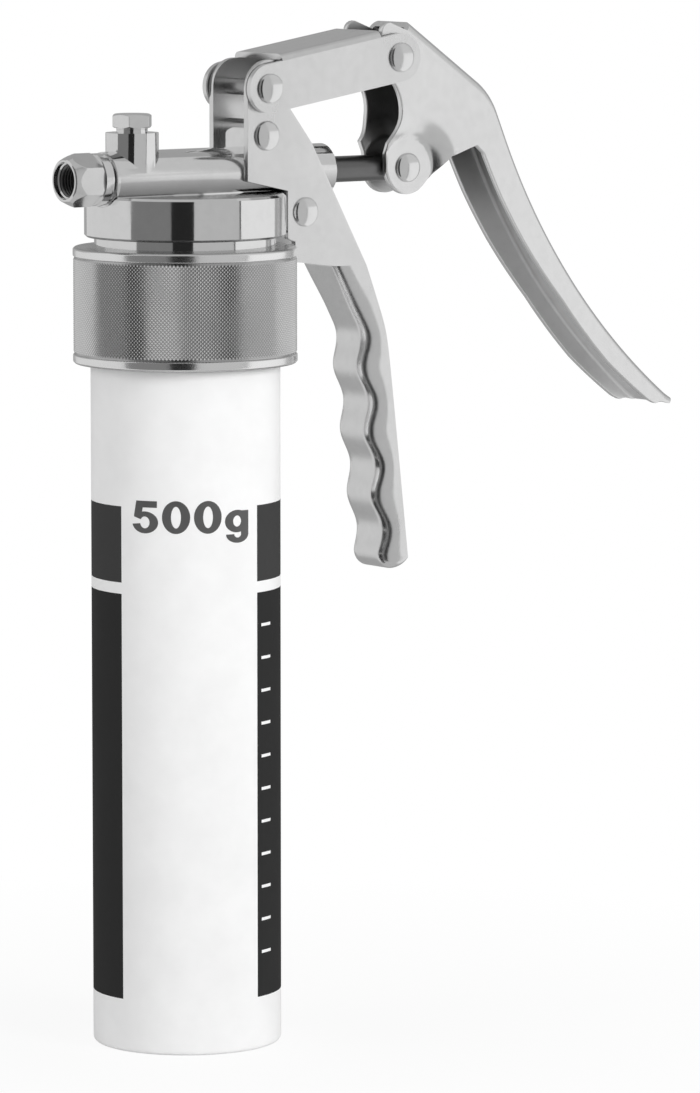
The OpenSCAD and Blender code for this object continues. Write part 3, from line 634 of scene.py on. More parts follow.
patches = figure_five(0.0) + figure_nought(0.9) + figure_nought(1.8) + letter_g(2.695)
lifts = PRINT_LIFT + PATCH_LIFT * (np.arange(len(patches)) % 3)
print_grids = [(wrapped(p, lift), False, False) for p, lift in zip(patches, lifts)]
figures = skin_object("weight_figures", print_grids, weld=0.0001)
face_round(figures.data)
settle(figures, "gun_body", "white_plastic", print_ink)

# %% [markdown]
# The collar is a ring with a plain band at each end. Between the bands stands the knurl. On a grid
# with two columns and two rows to a tooth, every second point is a tip and the others lie in the
# grooves, so each square is cut from groove to groove, and four triangles meet in a tip.

# %% The knurled collar
NECK_BORE, TUBE_BORE, LIP = 24.05, COLLAR_R - COLLAR_WALL, 6.2
BAND_EDGE, BAND_FOOT = 0.6, 0.3
z0, z1 = collar_low[2], collar_high[2]
KNURL_LOW, KNURL_HIGH = z0 + KNURL_BAND + BAND_FOOT, z1 - KNURL_BAND - BAND_FOOT
COLLAR_ROUND = np.linspace(0, 2 * math.pi, 2 * KNURL_TEETH, endpoint=False)
ring_profile = rounded(
    [
        (GROOVE_R, KNURL_HIGH), (COLLAR_R - 0.5, z1 - KNURL_BAND + 0.05),
        (COLLAR_R, z1 - KNURL_BAND + 0.4), (COLLAR_R, z1 - BAND_EDGE), (COLLAR_R - BAND_EDGE, z1),
        (NECK_BORE, z1), (NECK_BORE, z1 - LIP), (TUBE_BORE, z1 - LIP), (TUBE_BORE, z0),
        (COLLAR_R - BAND_EDGE, z0), (COLLAR_R, z0 + BAND_EDGE), (COLLAR_R, z0 + KNURL_BAND - 0.4),
        (COLLAR_R - 0.5, z0 + KNURL_BAND - 0.05), (GROOVE_R, KNURL_LOW),
    ],
    0.2,
    4,
)


def knurl_grid():
    """Tips where column and row add up to an odd number, grooves elsewhere and along both ends."""
    rows = 2 * round((KNURL_HIGH - KNURL_LOW) / (2 * math.pi * COLLAR_R / KNURL_TEETH))
    i, j = np.meshgrid(np.arange(len(COLLAR_ROUND)), np.arange(rows + 1), indexing="ij")
    tip = ((i + j) % 2 == 1) & (j > 0) & (j < rows)
    r = np.where(tip, TIP_R, GROOVE_R)
    a = COLLAR_ROUND[:, None]
    z = KNURL_LOW + (KNURL_HIGH - KNURL_LOW) * j / rows
    return np.stack([r * np.cos(a), r * np.sin(a), z], -1)


ring_skin = turned(ring_profile, COLLAR_ROUND)
collar_grids = [(ring_skin, True, False), (knurl_grid(), True, False, 0, True)]
collar = skin_object("knurled_collar_ring", collar_grids, crisp=18)
settle(collar, "gun_body", "knurled_steel", knurl, "knurled_collar")

# %% [markdown]
# ## Hexagon pieces
# A nut is turned first and gets its flats afterwards, so where the turned cone and a flat meet, the
# smaller radius wins. The radius of a flat at an angle is half the width over its cosine.

# %% Nuts and screws with flats


def flat_radius(angles, width, turn):
    """Half the width over the cosine of the angle from the nearest flat's middle."""
    away = np.mod(angles - turn + math.pi / 6, math.pi / 3) - math.pi / 6
    return width / 2 / np.cos(away)


def hexed(profile, angles, width, turn, low, high):
    """A turned grid whose radius is cut to the flats between two heights."""
    r = np.broadcast_to(profile[:, 0][None, :], (len(angles), len(profile))).copy()
    h = np.broadcast_to(profile[:, 1][None, :], r.shape)
    cut = (h > low) & (h < high)
    r = np.where(cut, np.minimum(r, flat_radius(angles, width, turn)[:, None]), r)
    a = angles[:, None]
    return np.stack([r * np.cos(a), r * np.sin(a), h], -1)


def dense(profile, step):
    """The same profile with points no further apart than a step."""
    out = [profile[:1]]
    for a, b in zip(profile[:-1], profile[1:]):
        n = max(1, int(np.ceil(np.linalg.norm(b - a) / step)))
        t = np.linspace(0, 1, n + 1)[1:, None]
        out.append(a + (b - a) * t)
    return np.concatenate(out)


HEX_ROUND = np.linspace(0, 2 * math.pi, 360, endpoint=False)
print("a hexagon of width 2 has corners at", round(flat_radius(math.pi / 6, 2.0, 0.0), 3))

# %% [markdown]
# The outlet union has a hexagon, a plain shank that sits in the barrel and a real thread in its
# mouth. The thread's wall is a cosine wave that climbs one pitch per turn and runs out at both ends.
# Behind it a narrow passage leads to the room of the ball and its spring.

# %% The outlet union
nut_low, nut_high = measured("outlet_nut")
FACE_X = nut_low[0]
NUT_AF = 14.0
CORNER_R = NUT_AF / 2 / math.cos(math.pi / 6)
OUTLET_R, CORE_R, THREAD_DEEP, THREAD_PITCH = 5.0, 4.45, 0.55, 1.0
UNION_SHANK_R, PASSAGE_R, BALL_ROOM_R = 5.95, 2.0, 3.67
THREAD_END, SPRING_SEAT = FACE_X + 9.5, FACE_X + 11.0
outside = np.array(
    [
        (UNION_SHANK_R, nut_high[0]), (UNION_SHANK_R, FACE_X + 14.05),
        (7.0, FACE_X + 14.0), (7.0, FACE_X + 13.05),
        (CORNER_R - 0.25, FACE_X + 13.0), (CORNER_R - 0.2, FACE_X + 12.7),
        (CORNER_R - 0.2, FACE_X + 10.2), (CORNER_R - 0.5, FACE_X + 9.85),
        (CORNER_R + 0.15, FACE_X + 9.2),
        (CORNER_R + 0.2, FACE_X + 4.0), (6.5, FACE_X + 0.25), (6.2, FACE_X),
        (5.6, FACE_X), (5.45, FACE_X + 0.2), (5.45, FACE_X + 1.4), (OUTLET_R, FACE_X + 1.7),
    ]
)
nut_skin = hexed(dense(outside, 0.15), HEX_ROUND, NUT_AF, 0.0, FACE_X + 0.5, FACE_X + 9.9)
thread_h = np.linspace(FACE_X + 1.7, THREAD_END, 110)
climb = thread_h[None, :] / THREAD_PITCH - HEX_ROUND[:, None] / (2 * math.pi)
tooth = 0.5 + 0.5 * np.cos(2 * math.pi * climb)
run_out = np.clip(np.minimum(thread_h - thread_h[0], thread_h[-1] - thread_h) / 0.4, 0, 1)
thread_r = OUTLET_R + (CORE_R + THREAD_DEEP * tooth - OUTLET_R) * run_out
thread_skin = np.stack(
    [
        thread_r * np.cos(HEX_ROUND)[:, None],
        thread_r * np.sin(HEX_ROUND)[:, None],
        np.broadcast_to(thread_h[None, :], thread_r.shape),
    ],
    -1,
)
passage = np.array(
    [
        (OUTLET_R, THREAD_END), (PASSAGE_R, THREAD_END), (PASSAGE_R, SPRING_SEAT),
        (BALL_ROOM_R, SPRING_SEAT),
        (BALL_ROOM_R, nut_high[0]), (UNION_SHANK_R, nut_high[0]),
    ]
)
floor_skin = turned(passage, HEX_ROUND)
nut_place = (0, 0, AXIS_Z)
nut = skin_object(
    "outlet_union",
    [
        (laid(nut_skin, "x", nut_place), True, False),
        (laid(thread_skin, "x", nut_place), True, False, 1),
        (laid(floor_skin, "x", nut_place), True, False, 1),
    ],
    crisp=28,
)
settle(nut, "gun_body", "bright_steel", [bright_steel, dark_thread_steel], "outlet_nut")

# %% [markdown]
# The bleed screw has a low collar under its head, and one corner is turned a little off the front.

# %% The bleed screw
screw_low, screw_high = measured("bleed_screw")
SCREW_AF, SHANK_R = 11.0, 3.0
SCREW_TOP = screw_high[2]
SCREW_X = (screw_low[0] + screw_high[0]) / 2
head_foot = SCREW_TOP - 4.2
corner = SCREW_AF / 2 / math.cos(math.pi / 6)
shank = np.array([(0.0, screw_low[2]), (2.6, screw_low[2]), (SHANK_R, screw_low[2] + 0.4)])
screw_profile = np.array(
    [
        (SHANK_R, head_foot - 0.4), (4.75, head_foot - 0.4), (4.8, head_foot),
        (SCREW_AF / 2 - 0.1, head_foot), (corner + 0.2, head_foot + 0.6),
        (corner + 0.2, SCREW_TOP - 0.8), (SCREW_AF / 2 - 0.3, SCREW_TOP - 0.05),
        (SCREW_AF / 2 - 0.6, SCREW_TOP), (0.0, SCREW_TOP),
    ]
)
corner_turn = math.atan2(FRONT[1], FRONT[0]) + math.radians(24)
screw_line = np.concatenate([shank, dense(screw_profile, 0.12)])
screw_skin = hexed(screw_line, HEX_ROUND, SCREW_AF, corner_turn, head_foot + 0.02, SCREW_TOP - 0.02)
screw_skin = laid(screw_skin, "z", (SCREW_X, 0, 0))
screw = skin_object("hexagon_bleed_screw", [(screw_skin, True, False)], crisp=28)
settle(screw, "bleed", "bright_steel", rivet_steel, "bleed_screw")

# %% [markdown]
# ## Rivets
# Each rivet was set cold: its head is a low dome over a short rim, the same on both sides.

# %% Domed rivet heads


def rivet_heads(name, centres, half_width, body, *nodes):
    """A dome is a quarter of an oval turned about the rivet's axis, from the rim up to the crown."""
    rim, crown, r = 0.25, 2.0, 4.55
    turn = np.radians(np.linspace(0, 90, 20))
    dome = np.stack([r * np.cos(turn), rim + (crown - rim) * np.sin(turn)], -1)
    foot = [(0.0, -0.3), (2.4, -0.3), (2.4, 0.0), (r - 0.1, 0.0), (r, 0.1)]
    head = np.concatenate([foot, dome])
    grids = []
    for x, z in centres:
        for side in (-1, 1):
            skin = turned(head, ROUND[::2])
            skin = laid(skin * [1, 1, side] + [0, 0, side * half_width], "y", (x, 0, z))
            grids.append((skin, True, False))
        pin = [(0, -half_width), (2.5, -half_width), (2.5, half_width), (0, half_width)]
        shank = turned(np.array(pin), ROUND[::4])
        grids.append((laid(shank, "y", (x, 0, z)), True, False, 1))
    finishes = [rivet_steel, shaded_washer_steel]
    return settle(skin_object(name, grids, crisp=30), body, "bright_steel", finishes, *nodes)


def rivet_places(node, joint_count):
    """The middles of a node's rivets in X and Z, from the points of its mesh."""
    points = frame["nodes"][node].data.vertices
    co = np.zeros(3 * len(points), np.float32)
    points.foreach_get("co", co)
    co = co.reshape(-1, 3)[:, [0, 2]].astype(float) / MM
    if joint_count == 1:
        return [(co.min(0) + co.max(0)) / 2]
    upper = co[:, 1] > co[:, 1].mean()
    return [(c.min(0) + c.max(0)) / 2 for c in (co[upper], co[~upper])]


for title, node, count, body in (
    ("handle_rivet_heads", "handle_rivets", 2, "gun_body"),
    ("link_rivet", "link_pivot_rivet", 1, "gun_body"),
    ("lever_rivet", "lever_pivot_rivet", 1, "hand_lever"),
    ("rod_rivet", "rod_pivot_rivet", 1, "hand_lever"),
):
    low, high = measured(node)
    rivet_heads(title, rivet_places(node, count), high[1] - 2.0, body, node)

# %% [markdown]
# ## Folded sheet
# The handle and the lever are each pressed from one sheet: a back with rounded folds, and two sides
# that run from the folds to a free edge. The handle's outer skin gets its thickness from a Solidify
# modifier, and a Bevel breaks its cut edges. The lever's two faces are both worked out and joined.

# %% Sheet helpers


def along(points, keys, counts):
    """Points spread evenly along a line between each pair of its key corners."""
    points = np.asarray(points, float)
    step = np.r_[0, np.cumsum(np.linalg.norm(np.diff(points, axis=0), axis=1))]
    where = np.concatenate(
        [
            np.linspace(step[a], step[b], n, endpoint=False)
            for a, b, n in zip(keys[:-1], keys[1:], counts)
        ]
        + [[step[keys[-1]]]]
    )
    return np.stack([np.interp(where, step, points[:, k]) for k in (0, 1)], -1)


def arc(middle, radius, start, end, n):
    """Points on a circle between two angles in degrees."""
    a = np.radians(np.linspace(start, end, n))
    return np.asarray(middle) + radius * np.stack([np.cos(a), np.sin(a)], -1)


def smooth(value):
    """A step from 0 to 1 that starts and ends flat."""
    t = np.clip(value, 0, 1)
    return t * t * (3 - 2 * t)


def face_outwards(mesh):
    """Turns all faces away from the middle plane: there, normal times distance adds up above zero."""
    work = bmesh.new()
    work.from_mesh(mesh)
    bmesh.ops.recalc_face_normals(work, faces=work.faces)
    if sum(f.normal.y * f.calc_center_median().y * f.calc_area() for f in work.faces) < 0:
        bmesh.ops.reverse_faces(work, faces=work.faces)
    work.to_mesh(mesh)
    work.free()


def sheet_object(name, grids, thickness, bevel):
    """A skin given a thickness inwards and small broken edges."""
    obj = skin_object(name, grids, weld=0.001, crisp=180)
    face_outwards(obj.data)
    solid = obj.modifiers.new("thickness", "SOLIDIFY")
    solid.thickness = thickness * MM
    solid.offset = -1
    solid.material_offset = 1
    edge = obj.modifiers.new("edges", "BEVEL")
    edge.width = bevel * MM
    edge.segments = 2
    edge.limit_method = "ANGLE"
    edge.angle_limit = math.radians(50)
    return finish_mesh(obj, 40)


print("halfway up a smooth step stands", smooth(0.5))

# %% [markdown]
# The handle's two plates clamp the pump head, and below it the sheet closes into a channel for the
# fingers. The web waves in and out, once for each finger, and drifts away from the cartridge as it
# goes down. Its folds are oval: tight at the web and slack towards the sides, as a press leaves them.

# %% The handle's lines
WEB_TOP_Q, HOLLOW_Q, WAVE_Q, PITCH = 29.0, 51.4, 47.5, 20.0
GRIP_X, LEAN, AMP, DEPTH = 60.25, 0.133, 1.35, 9.2
TOE_R, TOE_TURN, REAR_RISE = 5.0, 145.0, 1.2
TOE_Q = HOLLOW_Q + 3.38 * PITCH
GRIP_W, FOLD_WIDE, FOLD_DEEP, SHEET_T = 19.4, 4.3, 6.6, 2.0
PLATE_HALF = 10.0


def wave_x(q):
    """A mean line that leans, plus a cosine for the fingers."""
    return GRIP_X + LEAN * (q - HOLLOW_Q) + AMP * np.cos(2 * math.pi * (q - HOLLOW_Q) / PITCH)


def front_x(q):
    """A straight neck from the web's top, then the finger waves."""
    top = GRIP_X - 10.4
    slope = (wave_x(WAVE_Q) - top) / (WAVE_Q - WEB_TOP_Q)
    return np.where(q < WAVE_Q, top + slope * (q - WEB_TOP_Q), wave_x(q))


def rear_x(q):
    """The smaller of two lines, eased where they cross."""
    line = GRIP_X + DEPTH + (LEAN - 0.02) * (q - HOLLOW_Q)
    neck = GRIP_X + DEPTH - 0.41 * (HOLLOW_Q - 1.8 - q)
    return (line + neck) / 2 - np.sqrt(((line - neck) / 2) ** 2 + 0.64)


def grip_lines():
    """Front and rear points of the grip's channel from the web's top round the toe."""
    u = np.linspace(0, 1, 170)
    q = WEB_TOP_Q + (TOE_Q - WEB_TOP_Q) * u
    rear_q = q - REAR_RISE * u
    front = np.stack([front_x(q), AXIS_Z - q], -1)
    rear = np.stack([rear_x(rear_q), AXIS_Z - rear_q], -1)
    v = np.linspace(0, 1, 31)[1:]
    a = np.radians(180 + TOE_TURN * v)
    toe_middle = [wave_x(TOE_Q) + TOE_R, AXIS_Z - TOE_Q]
    toe_front = toe_middle + TOE_R * np.stack([np.cos(a), np.sin(a)], -1)
    toe_q = TOE_Q - REAR_RISE + 1.6 * v
    toe_rear = np.stack([rear_x(toe_q), AXIS_Z - toe_q], -1)
    drop = np.r_[q, np.full(len(v), TOE_Q)]
    return np.concatenate([front, toe_front]), np.concatenate([rear, toe_rear]), drop


grip_front, grip_rear, grip_q = grip_lines()
print("grip from", grip_front[0], "to", grip_front[-1])

# %% [markdown]
# Rows of the skin run from the front line to the rear line, first down the plates and then down the
# grip. The web lies between the two front lines of the grip.

# %% The handle's skin
NOTCH_X, COLLAR_X, PLATE_X, PLATE_TOP_R = 31.2, 33.95, 16.2, 8.6
top_mid = np.array([PLATE_X + PLATE_TOP_R, AXIS_Z + 26.1])


def plate_lines():
    """Front and rear edges of a side plate, from the top of its round to the web's top."""
    front_arc = arc(top_mid, PLATE_TOP_R, 90, 180, 20)
    corners = np.array(
        [
            (PLATE_X, AXIS_Z - 1.9), (NOTCH_X, DISC_TOP + 0.1), (NOTCH_X, DISC_FOOT - 1.5),
            (COLLAR_X, DISC_FOOT - 2.6), (COLLAR_X, AXIS_Z - 27.0), (GRIP_X - 10.4, AXIS_Z - WEB_TOP_Q),
        ]
    )
    front = np.concatenate([front_arc, corners])
    front = along(front, [0, 19, 20, 21, 22, 23, 24, 25], [24, 30, 20, 16, 5, 8, 24])
    rear_arc = arc(top_mid, PLATE_TOP_R, 90, -40, 30)
    foot = np.array([grip_rear[0, 0], AXIS_Z - WEB_TOP_Q])
    knee = np.array([foot[0] - 0.2 - (AXIS_Z + 9 - foot[1] + 3) / 2.0, AXIS_Z + 9])
    rear = np.concatenate([rear_arc, [knee, foot]])
    rear_steps = along(rear, [0, 29, 30, 31], [54, 20, 53])
    return front, rear_steps


def handle_grids():
    """Sides: straight rows from the fold to the rear line. Web: a flat between two oval folds.

    An oval fold is a quarter of an ellipse, wider towards the rear than across, so it leaves the
    web quickly and eases into the side."""
    plate_front, plate_rear = plate_lines()
    plate_front, plate_rear = plate_front[:-1], plate_rear[:-1]
    depth = np.linalg.norm(grip_rear - grip_front, axis=1)
    inward = (grip_rear - grip_front) / depth[:, None]
    squeeze = np.minimum(1, depth / (FOLD_DEEP + SHEET_T + 0.5))
    ease = smooth((grip_q - WEB_TOP_Q) / 14)
    half_g = PLATE_HALF + (GRIP_W / 2 - PLATE_HALF) * ease
    wide = FOLD_WIDE * (0.8 + 0.2 * ease)
    deep = FOLD_DEEP * (0.8 + 0.2 * ease) * squeeze
    t = np.linspace(0, 1, 41) ** 1.3
    d = deep[:, None] + (depth - deep)[:, None] * t[None, :]
    side_y = np.broadcast_to(half_g[:, None], d.shape)
    grip_side = np.stack(
        [
            grip_front[:, :1] + inward[:, :1] * d,
            side_y,
            grip_front[:, 1:] + inward[:, 1:] * d,
        ],
        -1,
    )
    plate_xz = plate_front[:, None, :] + (plate_rear - plate_front)[:, None, :] * t[None, :, None]
    plate_y = np.full(plate_xz.shape[:2], PLATE_HALF)
    plate_side = np.stack([plate_xz[..., 0], plate_y, plate_xz[..., 1]], -1)
    side = np.concatenate([plate_side, grip_side])
    a = np.radians(np.linspace(90, 0, 25))
    fold_y = half_g[:, None] - wide[:, None] * (1 - np.sin(a))[None, :]
    fold_d = deep[:, None] * (1 - np.cos(a))[None, :]
    flat_y = (half_g - wide)[:, None] * np.linspace(1, -1, 13)[None, 1:-1]
    web_y = np.concatenate([fold_y, flat_y, -fold_y[:, ::-1]], 1)
    web_d = np.concatenate([fold_d, np.zeros_like(flat_y), fold_d[:, ::-1]], 1)
    web_x = grip_front[:, :1] + inward[:, :1] * web_d
    web_z = grip_front[:, 1:] + inward[:, 1:] * web_d
    web = np.stack([web_x, web_y, web_z], -1)
    other = side * [1, -1, 1]
    return [(side[:, ::-1], False, False), (other, False, False), (web, False, False)]


handle = sheet_object("folded_grip_handle", handle_grids(), SHEET_T, 0.3)
settle(handle, "gun_body", "plated_sheet", [plated_sheet, shaded_inside], "grip_handle")

# %% [markdown]
# The lever's back is one long line: straight at the top, a bend at the shoulder, then a wide sweep
# out to the tip. Its cheeks reach forward to the rod. Round the rod's pivot they step inwards, so
# each cheek's distance from the middle depends on the distance from that pivot. The step is sharp
# at the ear and runs out softly. At the tip the flanges' corners are rounded off.

# %% The lever's lines
TOP_L, TOP_A, BEND_R, BEND_A = 32.6, 35.2, 22.6, 31.6
SHANK_L, SWEEP_R, SWEEP_A = 9.3, 209.0, 29.8
LEVER_HALF, LEVER_T, LEVER_FOLD = 10.0, 2.0, 3.0
EAR_R, EAR_HALF, EAR_FLAT_R, JOGGLE_LONG = 8.2, 6.5, 10.0, 7.4
RIM = 0.3
FLANGE_AT = [0, 0.13, 0.29, 0.5, 0.74, 0.93, 0.97, 1]
FLANGE_DEEP = [10.8, 10.5, 9.6, 7.9, 7.8, 6.3, 5.2, 3.6]
TIP_PULL, TIP_START = 3.2, 0.95


def heading_line(start):
    """The back line as points and headings: each stretch turns the heading evenly along its length."""
    lengths = [TOP_L, BEND_R * math.radians(BEND_A), SHANK_L, SWEEP_R * math.radians(SWEEP_A)]
    turns = [0.0, -BEND_A, 0.0, SWEEP_A]
    steps = [44, 52, 12, 130]
    length = np.concatenate([np.full(n, size / n) for size, n in zip(lengths, steps)])
    turn = np.concatenate([np.full(n, t / n) for t, n in zip(turns, steps)])
    end = -TOP_A + np.cumsum(turn)
    middle = np.radians(end - turn / 2)
    moves = length[:, None] * np.stack([np.cos(middle), np.sin(middle)], -1)
    points = np.concatenate([[start], start + np.cumsum(moves, 0)])
    return points, np.radians(np.r_[-TOP_A, end]), np.cumsum([0] + steps)


back, heading, marks = heading_line(PIVOT_C + [-1.0, 44.8])
inward_back = np.stack([np.sin(heading), -np.cos(heading)], -1)
sweep_u = np.clip((np.arange(len(back)) - marks[3]) / (marks[4] - marks[3]), 0, 1)
flange = np.interp(sweep_u, FLANGE_AT, FLANGE_DEEP)
tip_pull = TIP_PULL * smooth((sweep_u - TIP_START) / (1 - TIP_START))
along_back = np.stack([np.cos(heading), np.sin(heading)], -1)


def cheek_front():
    """The cheek's free edge from its crown round the ear to the flange, then down to the tip."""
    crown = arc((-9.6, 42), 3, 90, 180, 12)
    relief_mid, relief_r = np.array([-19.0, 17.5]), 14.3
    relief = arc(relief_mid, relief_r, 62, -55, 40)
    relief = relief[relief[:, 0] > -12.2 + (42 - relief[:, 1]) * 0.1]
    ear = arc((0, 0), EAR_R, 175, 319, 40)
    lower = np.array([(14.7, 3.0), (24.2, 6.2)])
    head = np.concatenate([crown, relief, ear, lower]) + PIVOT_C
    ear_start = len(crown) + len(relief)
    keys = [0, len(crown) - 1, ear_start - 1, ear_start, *range(len(head) - 3, len(head))]
    near = along(head, keys, [5, 22, 7, 40, 6, 8])
    sweep = (back + inward_back * flange[:, None] - along_back * tip_pull[:, None])[marks[3] :]
    joined = np.linspace(near[-1], sweep[0], marks[3] + 1 - len(near) + 1)[1:-1]
    return np.concatenate([near, joined, sweep])


def lever_skin(inside):
    """One face of the sheet: rows are stations of the back, columns run from edge to edge.

    Each row goes up one cheek, round a fold, across the back and down the other cheek. The inner
    face is the same row one sheet's thickness further in, with folds that are tighter by as much."""
    edge = cheek_front()
    t = LEVER_T if inside else 0.0
    half = LEVER_HALF - t
    fold = np.minimum(LEVER_FOLD, flange * 0.62)
    fold_end = back + inward_back * fold[:, None]
    row = edge - fold_end
    reach = np.linalg.norm(row, axis=1)
    stop = 1 - RIM * np.array([1, 0.3, 0])[None, :] / reach[:, None]
    u = np.concatenate([np.linspace(0, 1, 56)[None, :-1] ** 0.8 * stop[:, :1], stop], 1)
    xz = fold_end[:, None, :] + row[:, None, :] * u[..., None]
    away = np.linalg.norm(xz - PIVOT_C, axis=-1)
    climb = np.clip((away - EAR_FLAT_R + 0.6) / JOGGLE_LONG, 0, 1)
    cheek = EAR_HALF - t + (LEVER_HALF - EAR_HALF) * (1 - (1 - climb) ** 2)
    cheek[:, -2:] += (RIM if inside else -RIM) * np.array([0.3, 1.0])
    a = np.radians(np.linspace(90, 0, 8))
    tight = (fold - t)[:, None]
    fold_y = half - tight * (1 - np.sin(a))
    fold_d = t + tight * (1 - np.cos(a))
    flat_y = (half - tight) * np.linspace(1, -1, 9)[None, 1:-1]
    web_y = np.concatenate([fold_y, flat_y, -fold_y[:, ::-1]], 1)
    web_d = np.concatenate([fold_d, np.full_like(flat_y, t), fold_d[:, ::-1]], 1)
    web_x = back[:, :1] + inward_back[:, :1] * web_d
    web_z = back[:, 1:] + inward_back[:, 1:] * web_d
    web = np.stack([web_x, web_y, web_z], -1)
    side = np.stack([xz[..., 0], cheek, xz[..., 1]], -1)
    return np.concatenate([side[:, :0:-1], web, (side * [1, -1, 1])[:, 1:]], 1)


def closed_sheet(name, outer, inner):
    """Two faces of a sheet and the strips that join their four edges, as one closed skin."""
    columns = (np.stack([outer[:, k], inner[:, k]], 1) for k in (0, -1))
    rows = (np.stack([outer[k], inner[k]], 0) for k in (0, -1))
    grids = [(outer, False, False), (inner, False, False, 1)]
    grids += [(strip, False, False) for strip in (*columns, *rows)]
    return skin_object(name, grids, crisp=40)


lever_sheet = closed_sheet("folded_hand_lever", lever_skin(False), lever_skin(True))
settle(lever_sheet, "hand_lever", "plated_sheet", [polished_sheet, lever_inside], "lever")

# %% [markdown]
# ## Cast and plain pieces
# The head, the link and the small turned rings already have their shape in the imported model. A copy
# with its doubled points merged can carry smooth normals, and that is all they need.

# %% Copies with smooth normals


def smooth_copy(node, name, material, slot, body, crisp=32.0):
    """A copy of a node's mesh, merged and smoothed."""
    obj = bpy.data.objects.new(name, frame["nodes"][node].data.copy())
    bpy.context.scene.collection.objects.link(obj)
    tidy_mesh(obj.data, 0.00001, crisp)
    return settle(obj, body, slot, material, node)


smooth_copy("pump_head", "cast_pump_head", plated_casting, "plated_casting", "gun_body", 30)
smooth_copy("link_channel", "folded_link", plated_sheet, "plated_sheet", "link", 40)
smooth_copy("plunger_rod", "black_plunger_rod", black_steel, "black_steel", "plunger")
smooth_copy("outlet_washer", "outlet_ring", bright_steel, "bright_steel", "gun_body")
smooth_copy("bleed_washer", "bleed_ring", bright_steel, "bright_steel", "gun_body")
smooth_copy("pivot_washers", "link_washers", shaded_washer_steel, "bright_steel", "gun_body")

for node, material in (
    ("follower_piston", grey_plastic), ("neck_grease", grease), ("collar_gasket", seal_rubber),
    ("plunger_seal", seal_rubber), ("gland_bush", bush_brass), ("check_ball", bright_steel),
):
    data = frame["nodes"][node].data
    data.materials.clear()
    data.materials.append(material)

# %% [markdown]
# ## Springs and grease
# A spring is a round wire carried along a helix on the barrel's axis. One end rests on the head and
# the other is pushed by the rod or the ball. The grease is a smoothed copy of its imported shape.

# %% Springs and grease
WIRE_SIDES, STEPS_PER_TURN = 12, 36


def coil(low, high, wire, turns):
    """A circle of wire carried along a helix from the low to the high end of a box, with caps."""
    s = np.linspace(0, 1, turns * STEPS_PER_TURN + 1)[:, None]
    a = 2 * math.pi * turns * s
    b = np.linspace(0, 2 * math.pi, WIRE_SIDES, endpoint=False)[None, :]
    middle_x = low[0] + wire / 2 + (high[0] - low[0] - wire) * s
    middle_r = (high[1] - low[1] - wire) / 2

    def ring(size):
        r = middle_r + size * np.cos(b)
        return np.stack([middle_x - size * np.sin(b), r * np.cos(a), AXIS_Z + r * np.sin(a)], -1)

    wall, heart = ring(wire / 2), ring(0.0)
    return np.concatenate([heart[:1], wall, heart[-1:]])


for node, wire, turns, travel, joint in (
    ("return_spring", 1.2, 7, 18.2, "plunger_stroke"),
    ("check_spring", 0.6, 3, 1.2, "ball_lift"),
):
    low, high = measured(node)
    spring = skin_object("wound_" + node, [(coil(low, high, wire, turns), False, True)], crisp=60)
    settle(spring, "gun_body", "spring_steel", spring_steel, node)
    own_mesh(spring)

charge = smooth_copy("grease_charge", "grease_filling", grease, "grease", "gun_body")
low, high = measured("grease_charge")
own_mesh(charge)
print("the grease is", round(high[2] - low[2]), "mm high before use")

# %% [markdown]
# ## The studio
# The gun stands on white, lit softly from all round. Polished metal shows what is round it, so a few
# dark and grey cards stand out of sight and give the upright cylinders their bands.

# %% Floor and background


def seen_share(finish):
    """1 where the ground is seen directly, in a mirror or through glass, and 0 where it is lit."""
    path = finish.node("ShaderNodeLightPath").socket.node
    kinds = ("Is Camera Ray", "Is Glossy Ray", "Is Transmission Ray")
    camera, glossy, through = (Wire(finish, path.outputs[kind]) for kind in kinds)
    return camera.math("MAXIMUM", camera.math("MAXIMUM", camera, glossy), through)


def studio_floor():
    """A white square that glows where it is seen, so that only the soft shadow shows on it."""
    size = 3.0
    points = [(-size, -size, 0), (size, -size, 0), (size, size, 0), (-size, size, 0)]
    mesh = bpy.data.meshes.new("floor")
    mesh.from_pydata(points, [], [(0, 1, 2, 3)])
    floor = bpy.data.objects.new("floor", mesh)
    bpy.context.scene.collection.objects.link(floor)
    finish = Finish("white_floor")
    finish.wear(Base_Color=grey(0.9), Roughness=0.9, Specular_IOR_Level=0.0)
    glow = finish.tree.nodes.new("ShaderNodeEmission")
    glow.inputs["Color"].default_value = grey(1.0)
    away = finish.vector("LENGTH", finish.place(), out="Value")
    share = seen_share(finish) * finish.ramp(away, 0.9, 1.0, 0.06, 0.3)
    mix = finish.tree.nodes.new("ShaderNodeMixShader")
    finish.tree.links.new(share.socket, mix.inputs[0])
    finish.tree.links.new(finish.shader.outputs[0], mix.inputs[1])
    finish.tree.links.new(glow.outputs[0], mix.inputs[2])
    finish.tree.links.new(mix.outputs[0], finish.tree.nodes["Material Output"].inputs[0])
    mesh.materials.append(finish.material)
    floor.visible_glossy = False
    floor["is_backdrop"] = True
    return floor


studio_floor()

world = bpy.data.worlds.new("white_studio")
bpy.context.scene.world = world
world.use_nodes = True
ground = world.node_tree.nodes["Background"]
ground.inputs["Color"].default_value = grey(1.0)
path = world.node_tree.nodes.new("ShaderNodeLightPath")
level = world.node_tree.nodes.new("ShaderNodeMapRange")
world.node_tree.links.new(path.outputs["Is Camera Ray"], level.inputs["Value"])
level.inputs["To Min"].default_value = 0.5
level.inputs["To Max"].default_value = 1.0
world.node_tree.links.new(level.outputs[0], ground.inputs["Strength"])
print("a white floor under a white sky")

# %% [markdown]
# Each card is part of an upright cylinder round the gun. Its angles count from the camera's side, so
# a card at an angle shows in a face that is turned half as far.

